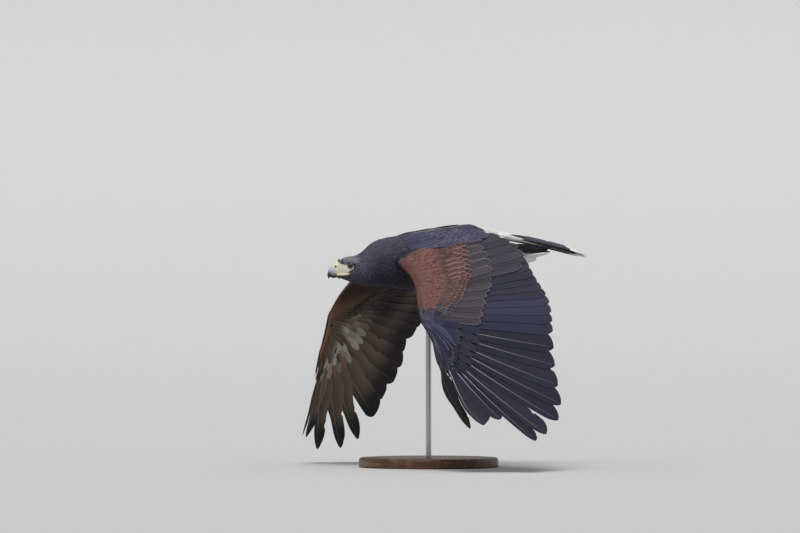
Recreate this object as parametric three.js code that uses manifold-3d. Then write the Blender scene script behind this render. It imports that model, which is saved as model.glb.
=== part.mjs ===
// A life-size Harris's hawk in flight, wings half way through the downstroke, on a plain display stand.
// Millimetres, +Z up. The bird faces -Y, and its left wing is on +X.
// The origin is the middle of the stand's underside.
import * as THREE from "three";
import { mergeVertices } from "three/addons/utils/BufferGeometryUtils.js";
import Module from "manifold-3d";

const wasm = await Module();
wasm.setup();

// Driving dimensions
const GAP = 0.3; // between neighbouring pieces
const SHOULDER_HEIGHT = 384; // the lowest wing tip then clears the floor
const SHOULDER_FORWARD = 66; // how far the shoulders are ahead of the stand's rod
const SHOULDER_HALF_SPAN = 42;
const PRIMARY_COUNT = 10;
const SECONDARY_COUNT = 10;
const TERTIAL_COUNT = 4;
const RECTRIX_COUNT = 12;
const TAIL_LENGTH = 206;
const EYE_RADIUS = 7.4;
const EYE_FACETS = 14;
const SOCKET_ROOM = 0.48;
const BASE_RADIUS = 128;
const BASE_HEIGHT = 18;
const ROD_RADIUS = 5;

const radians = THREE.MathUtils.degToRad;
const { lerp, clamp } = THREE.MathUtils;

// A direction, and a point, given as forward, left and up; points start from the middle of the shoulders.
const direction = (forward, left, up) => new THREE.Vector3(left, -forward, up);
const SHOULDERS = new THREE.Vector3(0, -SHOULDER_FORWARD, SHOULDER_HEIGHT);
const place = (forward, left, up) => direction(forward, left, up).add(SHOULDERS);
const LEFT = direction(0, 1, 0);
const UP = direction(0, 0, 1);

// The value at a place on a smooth curve through keys.
function keyed(keys, values, at) {
  let i = 0;
  while (i + 2 < keys.length && at > keys[i + 1]) i++;
  const slope = (k) => {
    const before = Math.max(k - 1, 0);
    const after = Math.min(k + 1, keys.length - 1);
    return (values[after] - values[before]) / (keys[after] - keys[before]);
  };
  const span = keys[i + 1] - keys[i];
  const t = clamp((at - keys[i]) / span, 0, 1);
  const ease = t * t * (3 - 2 * t);
  return lerp(values[i], values[i + 1], ease) + span * t * (1 - t) * (slope(i) * (1 - t) - slope(i + 1) * t);
}

// Solids and meshes
function solidOf(geometry) {
  const bare = new THREE.BufferGeometry();
  bare.setAttribute("position", geometry.getAttribute("position"));
  if (geometry.index) bare.setIndex(geometry.index);
  const merged = mergeVertices(bare, 1e-4);
  const vertProperties = new Float32Array(merged.attributes.position.array);
  const triVerts = new Uint32Array(merged.index.array);
  const solid = new wasm.Manifold(new wasm.Mesh({ numProp: 3, vertProperties, triVerts }));
  if (solid.volume() > 0) return solid;
  for (let i = 0; i < triVerts.length; i += 3) {
    [triVerts[i + 1], triVerts[i + 2]] = [triVerts[i + 2], triVerts[i + 1]];
  }
  return new wasm.Manifold(new wasm.Mesh({ numProp: 3, vertProperties, triVerts }));
}

function geometryOf(solid) {
  const mesh = solid.getMesh();
  const geometry = new THREE.BufferGeometry();
  geometry.setAttribute("position", new THREE.BufferAttribute(mesh.vertProperties, 3));
  geometry.setIndex(new THREE.BufferAttribute(mesh.triVerts, 1));
  geometry.computeVertexNormals();
  return geometry;
}

const join = (solids) => solids.reduce((whole, next) => whole.add(next));
const cut = (solid, tools) => tools.reduce((whole, tool) => whole.subtract(tool), solid);

// The largest closed surface of a solid, which drops scraps and fills sealed hollows.
function largest(solid) {
  return solid.decompose().reduce((best, next) => (next.volume() > best.volume() ? next : best));
}

// A closed skin through rings of points, each ring with as many points as the next.
function loft(rings) {
  const count = rings[0].length;
  const points = rings.flat();
  const faces = [];
  for (let r = 0; r + 1 < rings.length; r++) {
    for (let i = 0; i < count; i++) {
      const a = r * count + i;
      const b = r * count + ((i + 1) % count);
      faces.push(a, b, b + count, a, b + count, a + count);
    }
  }
  for (const end of [0, rings.length - 1]) {
    const centre = rings[end].reduce((sum, p) => sum.add(p), new THREE.Vector3()).divideScalar(count);
    points.push(centre);
    for (let i = 0; i < count; i++) {
      const a = end * count + i;
      const b = end * count + ((i + 1) % count);
      faces.push(...(end ? [a, b, points.length - 1] : [b, a, points.length - 1]));
    }
  }
  const geometry = new THREE.BufferGeometry().setFromPoints(points);
  geometry.setIndex(faces);
  return solidOf(geometry);
}

// An oval cross-section between a top and a bottom point.
function oval(top, bottom, side, halfWidth, { count = 18, power = 2.2, grow = 0 } = {}) {
  const up = top.clone().sub(bottom);
  const halfHeight = up.length() / 2 + grow;
  up.normalize();
  const centre = top.clone().add(bottom).multiplyScalar(0.5);
  const bulge = (value) => Math.sign(value) * Math.abs(value) ** (2 / power);
  const ring = [];
  for (let i = 0; i < count; i++) {
    const angle = (i / count) * 2 * Math.PI;
    const across = bulge(Math.cos(angle)) * (halfWidth + grow);
    const high = bulge(Math.sin(angle)) * halfHeight;
    ring.push(centre.clone().addScaledVector(side, across).addScaledVector(up, high));
  }
  return ring;
}

// Round rings along a path of points, each square to the path.
function ringsAlong(points, radii, aside, count = 8) {
  return points.map((point, i) => {
    const [before, after] = [points[Math.max(i - 1, 0)], points[Math.min(i + 1, points.length - 1)]];
    const ahead = after.clone().sub(before).normalize();
    const up = new THREE.Vector3().crossVectors(aside, ahead).normalize();
    const side = new THREE.Vector3().crossVectors(ahead, up);
    const top = point.clone().addScaledVector(up, radii[i]);
    const bottom = point.clone().addScaledVector(up, -radii[i]);
    return oval(top, bottom, side, radii[i], { count, power: 2 });
  });
}

// Solids that follow one row of rings and part at some of them.
function partedLoft(rings, cuts) {
  const middle = (ring) => ring.reduce((sum, p) => sum.add(p), new THREE.Vector3()).divideScalar(ring.length);
  let first = 0;
  let start = rings[0];
  return [...cuts, rings.length - 1].map((end) => {
    const piece = loft([start, ...rings.slice(first + 1, end + 1)]);
    if (end + 1 < rings.length) {
      const ahead = middle(rings[end + 1]).sub(middle(rings[end])).normalize().multiplyScalar(GAP);
      start = rings[end].map((p) => p.clone().add(ahead));
    }
    first = end;
    return piece;
  });
}

function ball(centre, radius, sides = 16, stretch = [1, 1, 1]) {
  const sphere = new THREE.SphereGeometry(radius, sides, Math.round(sides * 0.6));
  sphere.scale(...stretch);
  sphere.translate(centre.x, centre.y, centre.z);
  return solidOf(sphere);
}

// Trunk: each cross-section's distance ahead of the shoulders, top, underside and half width
const TRUNK = [
  [36, 37.5, -55, 37],
  [16, 41, -57, 43],
  [-15, 46.5, -60, 46],
  [-50, 52, -62, 47],
  [-90, 55, -58, 46],
  [-128, 57, -48, 42],
  [-160, 55.5, -34, 35],
  [-186, 50, -18, 27],
];
const NECK_MIDDLE = [53, 30, -54, 33];
const TAIL_ROOT = [
  [-186 - GAP, 50, -18, 27],
  [-204, 48.5, 4, 22],
  [-222, 45, 26, 15],
  [-236, 41.5, 33, 8],
];
const trunkRing = ([forward, top, bottom, halfWidth], grow = 0) =>
  oval(place(forward, 0, top), place(forward, 0, bottom), LEFT, halfWidth, { grow });
const TRUNK_CLEAR = loft([NECK_MIDDLE, ...TRUNK, ...TAIL_ROOT.slice(1)].map((s) => trunkRing(s, GAP)));

// Head: its own frame is turned to the bird's right
const HEAD_TURN = radians(18);
const HEAD_CENTRE = place(90.5, -6, -20);
const HEAD_AHEAD = direction(Math.cos(HEAD_TURN), -Math.sin(HEAD_TURN), 0);
const HEAD_LEFT = direction(Math.sin(HEAD_TURN), Math.cos(HEAD_TURN), 0);
const inHead = (ahead, left, up) => HEAD_CENTRE.clone()
  .addScaledVector(HEAD_AHEAD, ahead).addScaledVector(HEAD_LEFT, left).addScaledVector(UP, up);
const headRing = ([[topAhead, top], [bottomAhead, bottom], halfWidth], count = 18) =>
  oval(inHead(topAhead, 0, top), inHead(bottomAhead, 0, bottom), HEAD_LEFT, halfWidth, { power: 2.1, count });
const HEAD = [
  [[-21, 35], [-20, -33], 29.5],
  [[-12, 26], [-12, -31], 27],
  [[-2, 24], [-2, -28], 25],
  [[8, 23.5], [8, -23.5], 22],
  [[17, 22], [17, -19.8], 17.5],
  [[24, 19.2], [24, -17.8], 13],
  [[29, 16], [29, -16.4], 9.8],
];
const FACE_AHEAD = HEAD[HEAD.length - 1][0][0];
const CERE = [
  [[FACE_AHEAD + GAP, 15.8], [FACE_AHEAD + GAP, -10.8], 9.4],
  [[34, 11.8], [30.4, -10.7], 8.3],
  [[37.7, 6.2], [31.2, -10.5], 6.9],
];
const UPPER_BEAK = [
  [[37.7 + GAP, 6.3], [31.2 + GAP, -10.4], 6.8],
  [[42, 3.4], [34, -11.4], 5.6],
  [[45.4, -1.8], [37.5, -12.8], 4.4],
  [[47.2, -8], [40.2, -13.4], 3.3],
  [[47.3, -12.5], [42.8, -14.3], 2.2],
  [[46.2, -16.4], [44.3, -16.2], 1.1],
  [[45.3, -18.1], [44.8, -18], 0.3],
];
const LOWER_BEAK = [
  [[FACE_AHEAD + GAP, -11.1], [FACE_AHEAD + GAP, -16.2], 6.4],
  [[33, -11.7], [32.8, -16.6], 5.2],
  [[37, -13.3], [37, -16.6], 3.6],
  [[40, -14.4], [40, -15.8], 1.8],
];
// Points of the left half of the face, which the right half mirrors
const EYE = [6, 15, 5.2];
const EYE_AXIS = [0.42, 0.9, 0.06];
const LID = { reach: 5.9, radius: 6.4, tube: 1.35 };
const BROW = [[-5, 21.5, 11.5], [2.5, 22.2, 13.2], [10.5, 19.6, 13.4], [18, 14.8, 11.8]];
const BROW_RADII = [0.9, 2.5, 2.6, 1.1];
const GAPE = [[29.5, 8.6, -11.6], [23, 13.3, -11.9], [16, 17.4, -11], [9, 20.4, -9.4]];
const GAPE_RADII = [1.1, 1.5, 1.3, 0.6];
const MOUTH_DROP = 0.9;
const MOUTH_RADIUS = 0.5;
const NOSTRIL = [33.2, 8.2, 3.6];

const mirrored = ([ahead, left, up], side) => inHead(ahead, side * left, up);
const headPath = (points, radii, side, drop = 0) =>
  loft(ringsAlong(points.map(([a, l, u]) => mirrored([a, l, u - drop], side)), radii, UP));

function makeLid(side) {
  const axis = mirrored(EYE_AXIS, side).sub(HEAD_CENTRE).normalize();
  const lid = new THREE.TorusGeometry(LID.radius, LID.tube, 6, 16);
  lid.applyQuaternion(new THREE.Quaternion().setFromUnitVectors(new THREE.Vector3(0, 0, 1), axis));
  const centre = mirrored(EYE, side).addScaledVector(axis, LID.reach);
  lid.translate(centre.x, centre.y, centre.z);
  return solidOf(lid);
}

function makeHead() {
  const raised = [];
  const hollows = [];
  for (const side of [1, -1]) {
    raised.push(makeLid(side), headPath(BROW, BROW_RADII, side), headPath(GAPE, GAPE_RADII, side));
    hollows.push(ball(mirrored(EYE, side), EYE_RADIUS + SOCKET_ROOM, EYE_FACETS));
    hollows.push(headPath(GAPE, GAPE.map(() => MOUTH_RADIUS), side, MOUTH_DROP));
  }
  const front = inHead(FACE_AHEAD, 0, 0);
  const whole = join([loft(HEAD.map((s) => headRing(s))), ...raised]);
  const trimmed = whole.trimByPlane(HEAD_AHEAD.clone().negate().toArray(), -HEAD_AHEAD.dot(front));
  return largest(cut(trimmed, hollows));
}

function makeCere() {
  const nostrils = [1, -1].map((side) => ball(mirrored(NOSTRIL, side), 1, 10, [1.5, 1.5, 1.1]));
  return largest(cut(loft(CERE.map((s) => headRing(s, 14))), nostrils));
}

function makeNeck() {
  const [[topAhead, top], [bottomAhead, bottom], halfWidth] = HEAD[0];
  const front = headRing([[topAhead - GAP, top], [bottomAhead - GAP, bottom], halfWidth]);
  return loft([trunkRing([TRUNK[0][0] + GAP, ...TRUNK[0].slice(1)]), trunkRing(NECK_MIDDLE), front]);
}

// Feathers lie on a sheet, which is ruled by their axes. A place on it is a position in the row of axes,
// whole on an axis, and a distance along them.
const ARCH_SPAN = 250;
function onSheet(axes, position, distance) {
  const first = clamp(Math.floor(position), 0, axes.length - 2);
  const share = position - first;
  const curve = 4 * (distance / ARCH_SPAN) * (1 - distance / ARCH_SPAN);
  const [a, b] = [axes[first], axes[first + 1]].map(({ root, along, up, arch }) =>
    root.clone().addScaledVector(along, distance).addScaledVector(up, arch * curve));
  return a.lerp(b, share);
}

function sheetUp(axes, position) {
  const first = clamp(Math.floor(position), 0, axes.length - 2);
  const share = clamp(position - first, 0, 1);
  return axes[first].up.clone().lerp(axes[first + 1].up, share).normalize();
}

// The position that lies some millimetres across the sheet from another, at one distance.
function across(axes, start, distance, width) {
  const step = Math.sign(width);
  let position = start;
  let left = Math.abs(width);
  while (left > 0) {
    const edge = step > 0 ? Math.floor(position + 1e-6) + 1 : Math.ceil(position - 1e-6) - 1;
    const room = onSheet(axes, position, distance).distanceTo(onSheet(axes, edge, distance));
    if (room >= left) return position + (edge - position) * (left / room);
    left -= room;
    position = edge;
  }
  return position;
}

// A feather's outline is a share of its full width at each share of its length.
const ROUND = [[0, 0.1], [0.12, 0.14], [0.32, 0.95], [0.78, 1], [0.95, 0.76], [1, 0.4]];
const BLADE = [[0, 0.1], [0.12, 0.12], [0.32, 0.92], [0.78, 1], [0.94, 0.8], [1, 0.38]];
const FINGER = [[0, 0.1], [0.12, 0.12], [0.3, 0.9], [0.5, 1], [0.64, 0.6], [0.9, 0.5], [1, 0.16]];
const SMALL = [[0, 0.16], [0.42, 0.95], [0.88, 0.84], [1, 0.36]];
const LEADING_SHARE = 0.3; // of a flight feather's width, ahead of its shaft
const VANE_THICKNESS = 0.6;
const TIP_THICKNESS = 0.4;
const TIP_FROM = 0.9;
const LAYER = 1.4; // how far one feather lies over the next
const SHAFT_RISE = 0.4;
const ROOT_LIFT = 0.25; // the share of its lift that a covert has at its root
const LIFT_RAMP = 0.35; // and the share of its length over which it gains the rest
const COVERT_FROM = -4; // where a covert starts, from the line of the flight feathers' roots

// A thin plate over the sheet. It is tilted across, so that it lies over one neighbour and under the other.
function vane(axes, {
  position, from, length, width, outline = ROUND, leading = LEADING_SHARE, shaft = false, over = 1,
  lift = 0, ramp = LIFT_RAMP, limits = [-Infinity, Infinity],
}) {
  const columns = shaft ? [-leading, 0, 1 - leading] : [-leading, 1 - leading];
  const top = [];
  const bottom = [];
  for (const [share, wide] of outline) {
    const distance = from + length * share;
    const rise = lift * Math.min(1, ROOT_LIFT + share / ramp);
    const thick = share > TIP_FROM ? TIP_THICKNESS : VANE_THICKNESS;
    for (const column of columns) {
      const there = clamp(across(axes, position, distance, column * width * wide), ...limits);
      const height = rise + over * (position - there) * LAYER + (column === 0 ? SHAFT_RISE : 0);
      const up = sheetUp(axes, there);
      const point = onSheet(axes, there, distance).addScaledVector(up, height);
      top.push(point);
      bottom.push(point.clone().addScaledVector(up, -thick));
    }
  }
  return plate(top, bottom, columns.length);
}

// A closed plate between two grids of points, split into triangles alike on both faces.
function plate(top, bottom, columns) {
  const half = top.length;
  const rows = half / columns;
  const faces = [];
  const quad = (a, b, c, d) => faces.push(a, b, c, a, c, d);
  for (let r = 0; r + 1 < rows; r++) {
    for (let c = 0; c + 1 < columns; c++) {
      const a = r * columns + c;
      quad(a, a + columns, a + columns + 1, a + 1);
      faces.push(half + a, half + a + columns + 1, half + a + columns);
      faces.push(half + a, half + a + 1, half + a + columns + 1);
    }
    const first = r * columns;
    const last = first + columns - 1;
    quad(first, half + first, half + first + columns, first + columns);
    quad(last, last + columns, half + last + columns, half + last);
  }
  const end = half - columns;
  for (let c = 0; c + 1 < columns; c++) {
    quad(c, c + 1, half + c + 1, half + c);
    quad(end + c, half + end + c, half + end + c + 1, end + c + 1);
  }
  const geometry = new THREE.BufferGeometry().setFromPoints([...top, ...bottom]);
  geometry.setIndex(faces);
  return solidOf(geometry);
}

// A row of like coverts. Each list has a value for every feather in turn.
function row(axes, { positions, tips, from = COVERT_FROM, ...rest }) {
  return positions.map((position, i) => vane(axes, {
    position, from, length: tips[i] - from, outline: SMALL, ...rest,
  }));
}

// Wings: the wrist from the shoulder joint, and the direction of the hand; then each primary's sweep back
// from straight out, dip below level and length, outermost first; then sweep and dip of the arm's feathers,
// at keys from the wrist to the armpit
const PRIMARY_WIDTHS = [30, 37, 41, 44, 44, 43, 42, 42, 42, 42];
const PRIMARY_SPACING = 10;
const PRIMARY_START = 6; // the innermost primary's root, past the wrist
const WINGS = {
  left: {
    side: 1,
    fingers: 1,
    wrist: [39, 122, -113],
    patagiumDip: 7,
    hand: [-0.06, 0.66, -0.745],
    sweep: [-6, 6, 17, 27, 38, 49, 55, 58, 60, 61.5],
    dip: [48, 41.2, 38.3, 38.6, 37.3, 32.4, 27.9, 22.8, 16.6, 10.7],
    length: [164, 180, 187, 264, 266, 269, 264, 251, 240, 236],
    armSweep: [62.5, 69.5, 78, 86.5, 90, 94],
    armDip: [5.7, -2.1, -7.5, -14, -15, -13.5],
  },
  right: {
    side: -1,
    fingers: 5,
    wrist: [42, 121, -113],
    patagiumDip: -14,
    hand: [-0.05, 0.56, -0.83],
    sweep: [4, 15.5, 25, 37.5, 46, 54, 58, 62, 65.5, 67],
    dip: [54.9, 46.5, 46.4, 43.3, 41.4, 35, 30, 23.9, 18.6, 13.7],
    length: [173, 207, 253, 279, 276, 254, 240, 240, 234, 226],
    armSweep: [68, 73, 80, 87, 90.5, 94],
    armDip: [9, 1, -6.5, -13, -14.5, -13.5],
  },
};
const ELBOW = [-33, 74, -49];
const ARMPIT = [-52, 10, 14];
const ELBOW_AT = 0.7;
const ARM_KEYS = [0.04, 0.26, 0.47, 0.69, 0.83, 0.97];
const ARM_LENGTHS = [232, 216, 191, 172, 166, 144];
const SECONDARY_WIDTH = 37;
const HAND_ARCH = -6;
const ARM_ARCH = 5;
const ARM_ARCH_FULL_AT = 0.33;
const UP_SHARE = 0.35; // how far along the feathers the slope of their sheet is taken
const ARM_FEATHERS = SECONDARY_COUNT + TERTIAL_COUNT;
const ARM_START = 0.6; // of a feather's spacing, from the wrist to the first secondary
const ARM_POSITIONS = Array.from({ length: ARM_FEATHERS }, (_, j) => PRIMARY_COUNT + j);
const HAND_POSITIONS = Array.from({ length: PRIMARY_COUNT }, (_, i) => i);

// Coverts and scapulars: how far behind the line of the feather roots their tips are
const GREATER_PRIMARY_TIPS = [38, 47, 57, 70, 77, 82, 84, 90, 97, 101];
const GREATER_SECONDARY_TIPS = [99, 98, 97, 96, 95, 96, 97, 97, 97, 98, 101, 105, 107, 104];
const MEDIAN_POSITIONS = [10, 11.3, 12.6, 13.9, 15.2, 16.5, 17.8, 19.1, 20.4, 21.7, 23];
const MEDIAN_TIPS = [32, 41, 46, 50, 53, 53, 54, 57, 61, 64, 66];
const UNDER_POSITIONS = [0.5, 2.5, 4.5, 6.5, 8.5, 10.5, 12.5, 14.5, 16.5, 18.5, 20.5, 22.5];
const UNDER_TIPS = [48, 68, 84, 94, 98, 98, 95, 92, 90, 87, 82, 74];
const SCAPULAR_POSITIONS = [19.4, 20.5, 21.6, 22.7, 23.8];
const SCAPULAR_TIPS = [62, 76, 88, 95, 97];
const UPPER_SCAPULAR_POSITIONS = [21, 22.1, 23.2, 24.2];
const UPPER_SCAPULAR_TIPS = [34, 46, 54, 58];
const ALULA_ROOT_LIFT = 0.3;
const ALULA = [
  { from: [9.5, -9], to: [6.7, 50], lift: 8.4, width: 13 },
  { from: [9.3, -10], to: [5.8, 38], lift: 7.2, width: 12 },
  { from: [9, -10], to: [4.9, 27], lift: 6, width: 11 },
];

// The core under the feathers: its reach ahead of and behind the line of roots, and its thickness
const CORE_TIP = { reach: 16, front: 4, back: 14, thick: 3 };
const CORE_HAND = [
  { position: 0, ahead: 8, behind: 15, thick: 5 },
  { position: 2, ahead: 10, behind: 18, thick: 7 },
  { position: 4, ahead: 11, behind: 19, thick: 8.5 },
  { position: 6, ahead: 12, behind: 20, thick: 10 },
  { position: 8, ahead: 13, behind: 20, thick: 11.5 },
];
const CORE_ARM = [
  { at: 0, thick: 12 },
  { at: 0.2, thick: 13 },
  { at: 0.42, thick: 15 },
  { at: 0.64, thick: 19 },
  { at: 0.84, thick: 25 },
  { at: 1, thick: 29 },
];
const CORE_BEHIND = 18;
const WRIST_FRONT = [13, -2, 3];
const SHOULDER_FRONT = [27, 3, -9];
const SHOULDER_INWARD = [0, -24, 6];
const CORE_PROFILE = [
  [0, 0], [0.12, 0.34], [0.38, 0.52], [0.75, 0.36], [1, 0.17],
  [1, -0.17], [0.75, -0.3], [0.38, -0.42], [0.12, -0.28],
];

function featherDirection(side, sweep, dip) {
  const [a, b] = [radians(sweep), radians(dip)];
  return direction(-Math.sin(a) * Math.cos(b), side * Math.cos(a) * Math.cos(b), -Math.sin(b));
}

function wingBones(wing) {
  const { side } = wing;
  const shoulder = place(0, side * SHOULDER_HALF_SPAN, 0);
  const from = ([forward, out, up]) => shoulder.clone().add(direction(forward, side * out, up));
  const [forward, out, up] = wing.hand;
  return {
    side, shoulder, wrist: from(wing.wrist), elbow: from(ELBOW), armpit: from(ARMPIT),
    hand: direction(forward, side * out, up).normalize(),
  };
}

// A place on the line of the arm's feather roots, from the wrist by the elbow to the armpit.
function armRoot({ wrist, elbow, armpit }, at) {
  if (at < ELBOW_AT) return wrist.clone().lerp(elbow, at / ELBOW_AT);
  return elbow.clone().lerp(armpit, (at - ELBOW_AT) / (1 - ELBOW_AT));
}

// The axes of one wing's flight feathers, from the outermost primary to the innermost tertial.
function wingAxes(wing, bones) {
  const alongHand = (i) => PRIMARY_START + PRIMARY_SPACING * (PRIMARY_COUNT - 1 - i);
  const axes = HAND_POSITIONS.map((i) => ({
    root: bones.wrist.clone().addScaledVector(bones.hand, alongHand(i)),
    along: featherDirection(wing.side, wing.sweep[i], wing.dip[i]),
    length: wing.length[i],
    width: PRIMARY_WIDTHS[i],
    arch: HAND_ARCH * (1 - i / PRIMARY_COUNT),
  }));
  for (let j = 0; j < ARM_FEATHERS; j++) {
    const at = (j + ARM_START) / ARM_FEATHERS;
    const sweep = keyed(ARM_KEYS, wing.armSweep, at);
    axes.push({
      root: armRoot(bones, at),
      along: featherDirection(wing.side, sweep, keyed(ARM_KEYS, wing.armDip, at)),
      length: keyed(ARM_KEYS, ARM_LENGTHS, at),
      width: SECONDARY_WIDTH,
      arch: ARM_ARCH * Math.min(1, at / ARM_ARCH_FULL_AT),
    });
  }
  setUps(axes, wing.side);
  return axes;
}

// Each axis gets the upward direction square to it and to the row of axes.
function setUps(axes, side) {
  const spot = ({ root, along, length }) => root.clone().addScaledVector(along, length * UP_SHARE);
  axes.forEach((axis, i) => {
    const outward = spot(axes[Math.max(i - 1, 0)]).sub(spot(axes[Math.min(i + 1, axes.length - 1)]));
    axis.up = new THREE.Vector3().crossVectors(outward, axis.along).multiplyScalar(side).normalize();
  });
}

function wingCore(wing, bones, axes) {
  const { side, hand, wrist, shoulder } = bones;
  const sections = [];
  const add = (front, back, up, thick) => sections.push({ front, back, up, thick });
  const offset = ([forward, out, rise]) => direction(forward, side * out, rise);
  const tipAt = (distance) =>
    axes[0].root.clone().addScaledVector(hand, CORE_TIP.reach).addScaledVector(axes[0].along, distance);
  add(tipAt(CORE_TIP.front), tipAt(CORE_TIP.back), axes[0].up, CORE_TIP.thick);
  for (const { position, ahead, behind, thick } of CORE_HAND) {
    const { root, up } = axes[position];
    const chord = new THREE.Vector3().crossVectors(hand, up).multiplyScalar(side).normalize();
    add(root.clone().addScaledVector(chord, ahead), root.clone().addScaledVector(chord, -behind), up, thick);
  }
  const wristFront = wrist.clone().add(offset(WRIST_FRONT));
  const shoulderFront = shoulder.clone().add(offset(SHOULDER_FRONT));
  for (const { at, thick } of CORE_ARM) {
    const { along, up } = axes[PRIMARY_COUNT + Math.round(at * (ARM_FEATHERS - 1))];
    const front = wristFront.clone().lerp(shoulderFront, at);
    front.add(direction(-wing.patagiumDip * Math.sin(Math.PI * at), 0, 0));
    add(front, armRoot(bones, at).addScaledVector(along, CORE_BEHIND), up, thick);
  }
  const inner = sections[sections.length - 1];
  const inward = offset(SHOULDER_INWARD);
  add(inner.front.clone().add(inward), inner.back.clone().add(inward), inner.up, inner.thick);
  return loft(sections.map(coreRing));
}

function coreRing({ front, back, up, thick }) {
  const chord = back.clone().sub(front);
  const ahead = chord.clone().normalize();
  const lift = up.clone().addScaledVector(ahead, -up.dot(ahead)).normalize();
  return CORE_PROFILE.map(([x, z]) =>
    front.clone().addScaledVector(chord, x).addScaledVector(lift, z * thick));
}

// One feather of the bastard wing, which lies across the primary coverts from the wrist.
function alulaVane(axes, { from, to, lift, width }) {
  const up = sheetUp(axes, (from[0] + to[0]) / 2);
  const start = onSheet(axes, ...from).addScaledVector(up, lift * ALULA_ROOT_LIFT);
  const end = onSheet(axes, ...to).addScaledVector(up, lift);
  const side = new THREE.Vector3().crossVectors(up, end.clone().sub(start)).normalize();
  const top = [];
  const bottom = [];
  for (const [share, wide] of ROUND) {
    for (const edge of [-0.5, 0.5]) {
      const point = start.clone().lerp(end, share).addScaledVector(side, edge * wide * width);
      top.push(point);
      bottom.push(point.clone().addScaledVector(up, -VANE_THICKNESS));
    }
  }
  return plate(top, bottom, 2);
}

function makeWing(wing) {
  const bones = wingBones(wing);
  const axes = wingAxes(wing, bones);
  const flight = axes.map(({ length, width }, i) => vane(axes, {
    position: i, from: 0, length, width, shaft: i < PRIMARY_COUNT,
    outline: i < wing.fingers ? FINGER : i < PRIMARY_COUNT ? BLADE : ROUND,
  }));
  const coverts = [
    ...row(axes, { positions: HAND_POSITIONS, tips: GREATER_PRIMARY_TIPS, width: 17, lift: 2.9 }),
    ...row(axes, { positions: ARM_POSITIONS, tips: GREATER_SECONDARY_TIPS, width: 22, lift: 2.9 }),
    ...row(axes, { positions: MEDIAN_POSITIONS, tips: MEDIAN_TIPS, from: -12, width: 22, lift: 5.6 }),
    ...row(axes, { positions: UNDER_POSITIONS, tips: UNDER_TIPS, width: 30, lift: -4.6 }),
    ...row(axes, { positions: SCAPULAR_POSITIONS, tips: SCAPULAR_TIPS, from: -36, width: 30, lift: 8 }),
    ...row(axes, {
      positions: UPPER_SCAPULAR_POSITIONS, tips: UPPER_SCAPULAR_TIPS, from: -50, width: 30, lift: 11,
    }),
    ...ALULA.map((feather) => alulaVane(axes, feather)),
  ];
  return largest(cut(join([wingCore(wing, bones, axes), ...flight, ...coverts]), [TRUNK_CLEAR]));
}

// Tail: a narrow fan that is twisted, its left edge down; the middle pair of feathers lies on top
const TAIL_SPREAD = 10;
const TAIL_SLOPE = radians(11.4);
const TAIL_TWIST = radians(15);
const TAIL_HALF_ROOT = 9;
const TAIL_FRONT = [-196, 44];
const RECTRIX_WIDTH = 36;
const MIDDLE = (RECTRIX_COUNT - 1) / 2;
const MIDDLE_OVERLAP = 0.6; // how far the middle pair reaches over the middle line, in feather spacings
const OTHERS_SHORT = 0.1; // and how far the others stop short of it
const MIDDLE_STEP = 1.2;
const TAIL_COVERT_POSITIONS = [1, 2.8, 4.6, 6.4, 8.2, 10];
const TAIL_COVERT_TIPS = [58, 70, 78, 78, 70, 58];
const UNDER_TAIL_POSITIONS = [1.5, 4.2, 6.8, 9.5];
const UNDER_TAIL_TIPS = [84, 104, 104, 84];

function tailAxes() {
  const twistAxis = direction(-1, 0, 0);
  const twisted = (vector) => vector.applyAxisAngle(twistAxis, TAIL_TWIST);
  return Array.from({ length: RECTRIX_COUNT }, (_, i) => {
    const share = (MIDDLE - i) / MIDDLE;
    const spread = radians(TAIL_SPREAD * share);
    const along = twisted(direction(-Math.cos(spread), Math.sin(spread), 0));
    along.addScaledVector(UP, -Math.tan(TAIL_SLOPE)).normalize();
    const root = place(TAIL_FRONT[0], 0, TAIL_FRONT[1]).add(twisted(direction(0, TAIL_HALF_ROOT * share, 0)));
    return { root, along, up: twisted(UP.clone()), arch: 0 };
  });
}

function makeTail() {
  const axes = tailAxes();
  const rectrices = axes.map((_, i) => {
    const left = i < MIDDLE;
    const central = Math.abs(i - MIDDLE) < 1;
    const reach = central ? MIDDLE_OVERLAP : -OTHERS_SHORT;
    return vane(axes, {
      position: i, from: 0, length: TAIL_LENGTH - Math.abs(i - MIDDLE), width: RECTRIX_WIDTH,
      leading: left ? LEADING_SHARE : 1 - LEADING_SHARE,
      over: left ? 1 : -1, lift: left ? MIDDLE_STEP : -MIDDLE_STEP,
      limits: left ? [-Infinity, MIDDLE + reach] : [MIDDLE - reach, Infinity],
    });
  });
  const coverts = [
    ...row(axes, { positions: TAIL_COVERT_POSITIONS, tips: TAIL_COVERT_TIPS, width: 20, lift: 7, over: 0.4 }),
    ...row(axes, {
      positions: UNDER_TAIL_POSITIONS, tips: UNDER_TAIL_TIPS, from: 4, width: 26, lift: -9, over: 0.5,
    }),
  ];
  return largest(join([loft(TAIL_ROOT.map((s) => trunkRing(s))), ...rectrices, ...coverts]));
}

// Legs: tucked back under the tail, the toes closed. Each path point is forward, outward, up, and its radius
const LEG = [
  [-62, 22, -28, 19],
  [-95, 28, -48, 23],
  [-126, 28, -58, 18.5],
  [-148, 26.5, -61, 12.5],
  [-162, 25, -60, 7],
  [-170, 24.5, -58, 4.8],
  [-200, 22, -50.5, 4.2],
  [-228, 20, -43.5, 4.4],
  [-234, 19.5, -42, 6],
  [-240, 19, -40.5, 5],
];
const THIGH_END = 4;
const TARSUS_END = 7;
const TOE_START = [-235, 19.5, -42];
const SHIN_SLOPE = radians(14);
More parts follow.
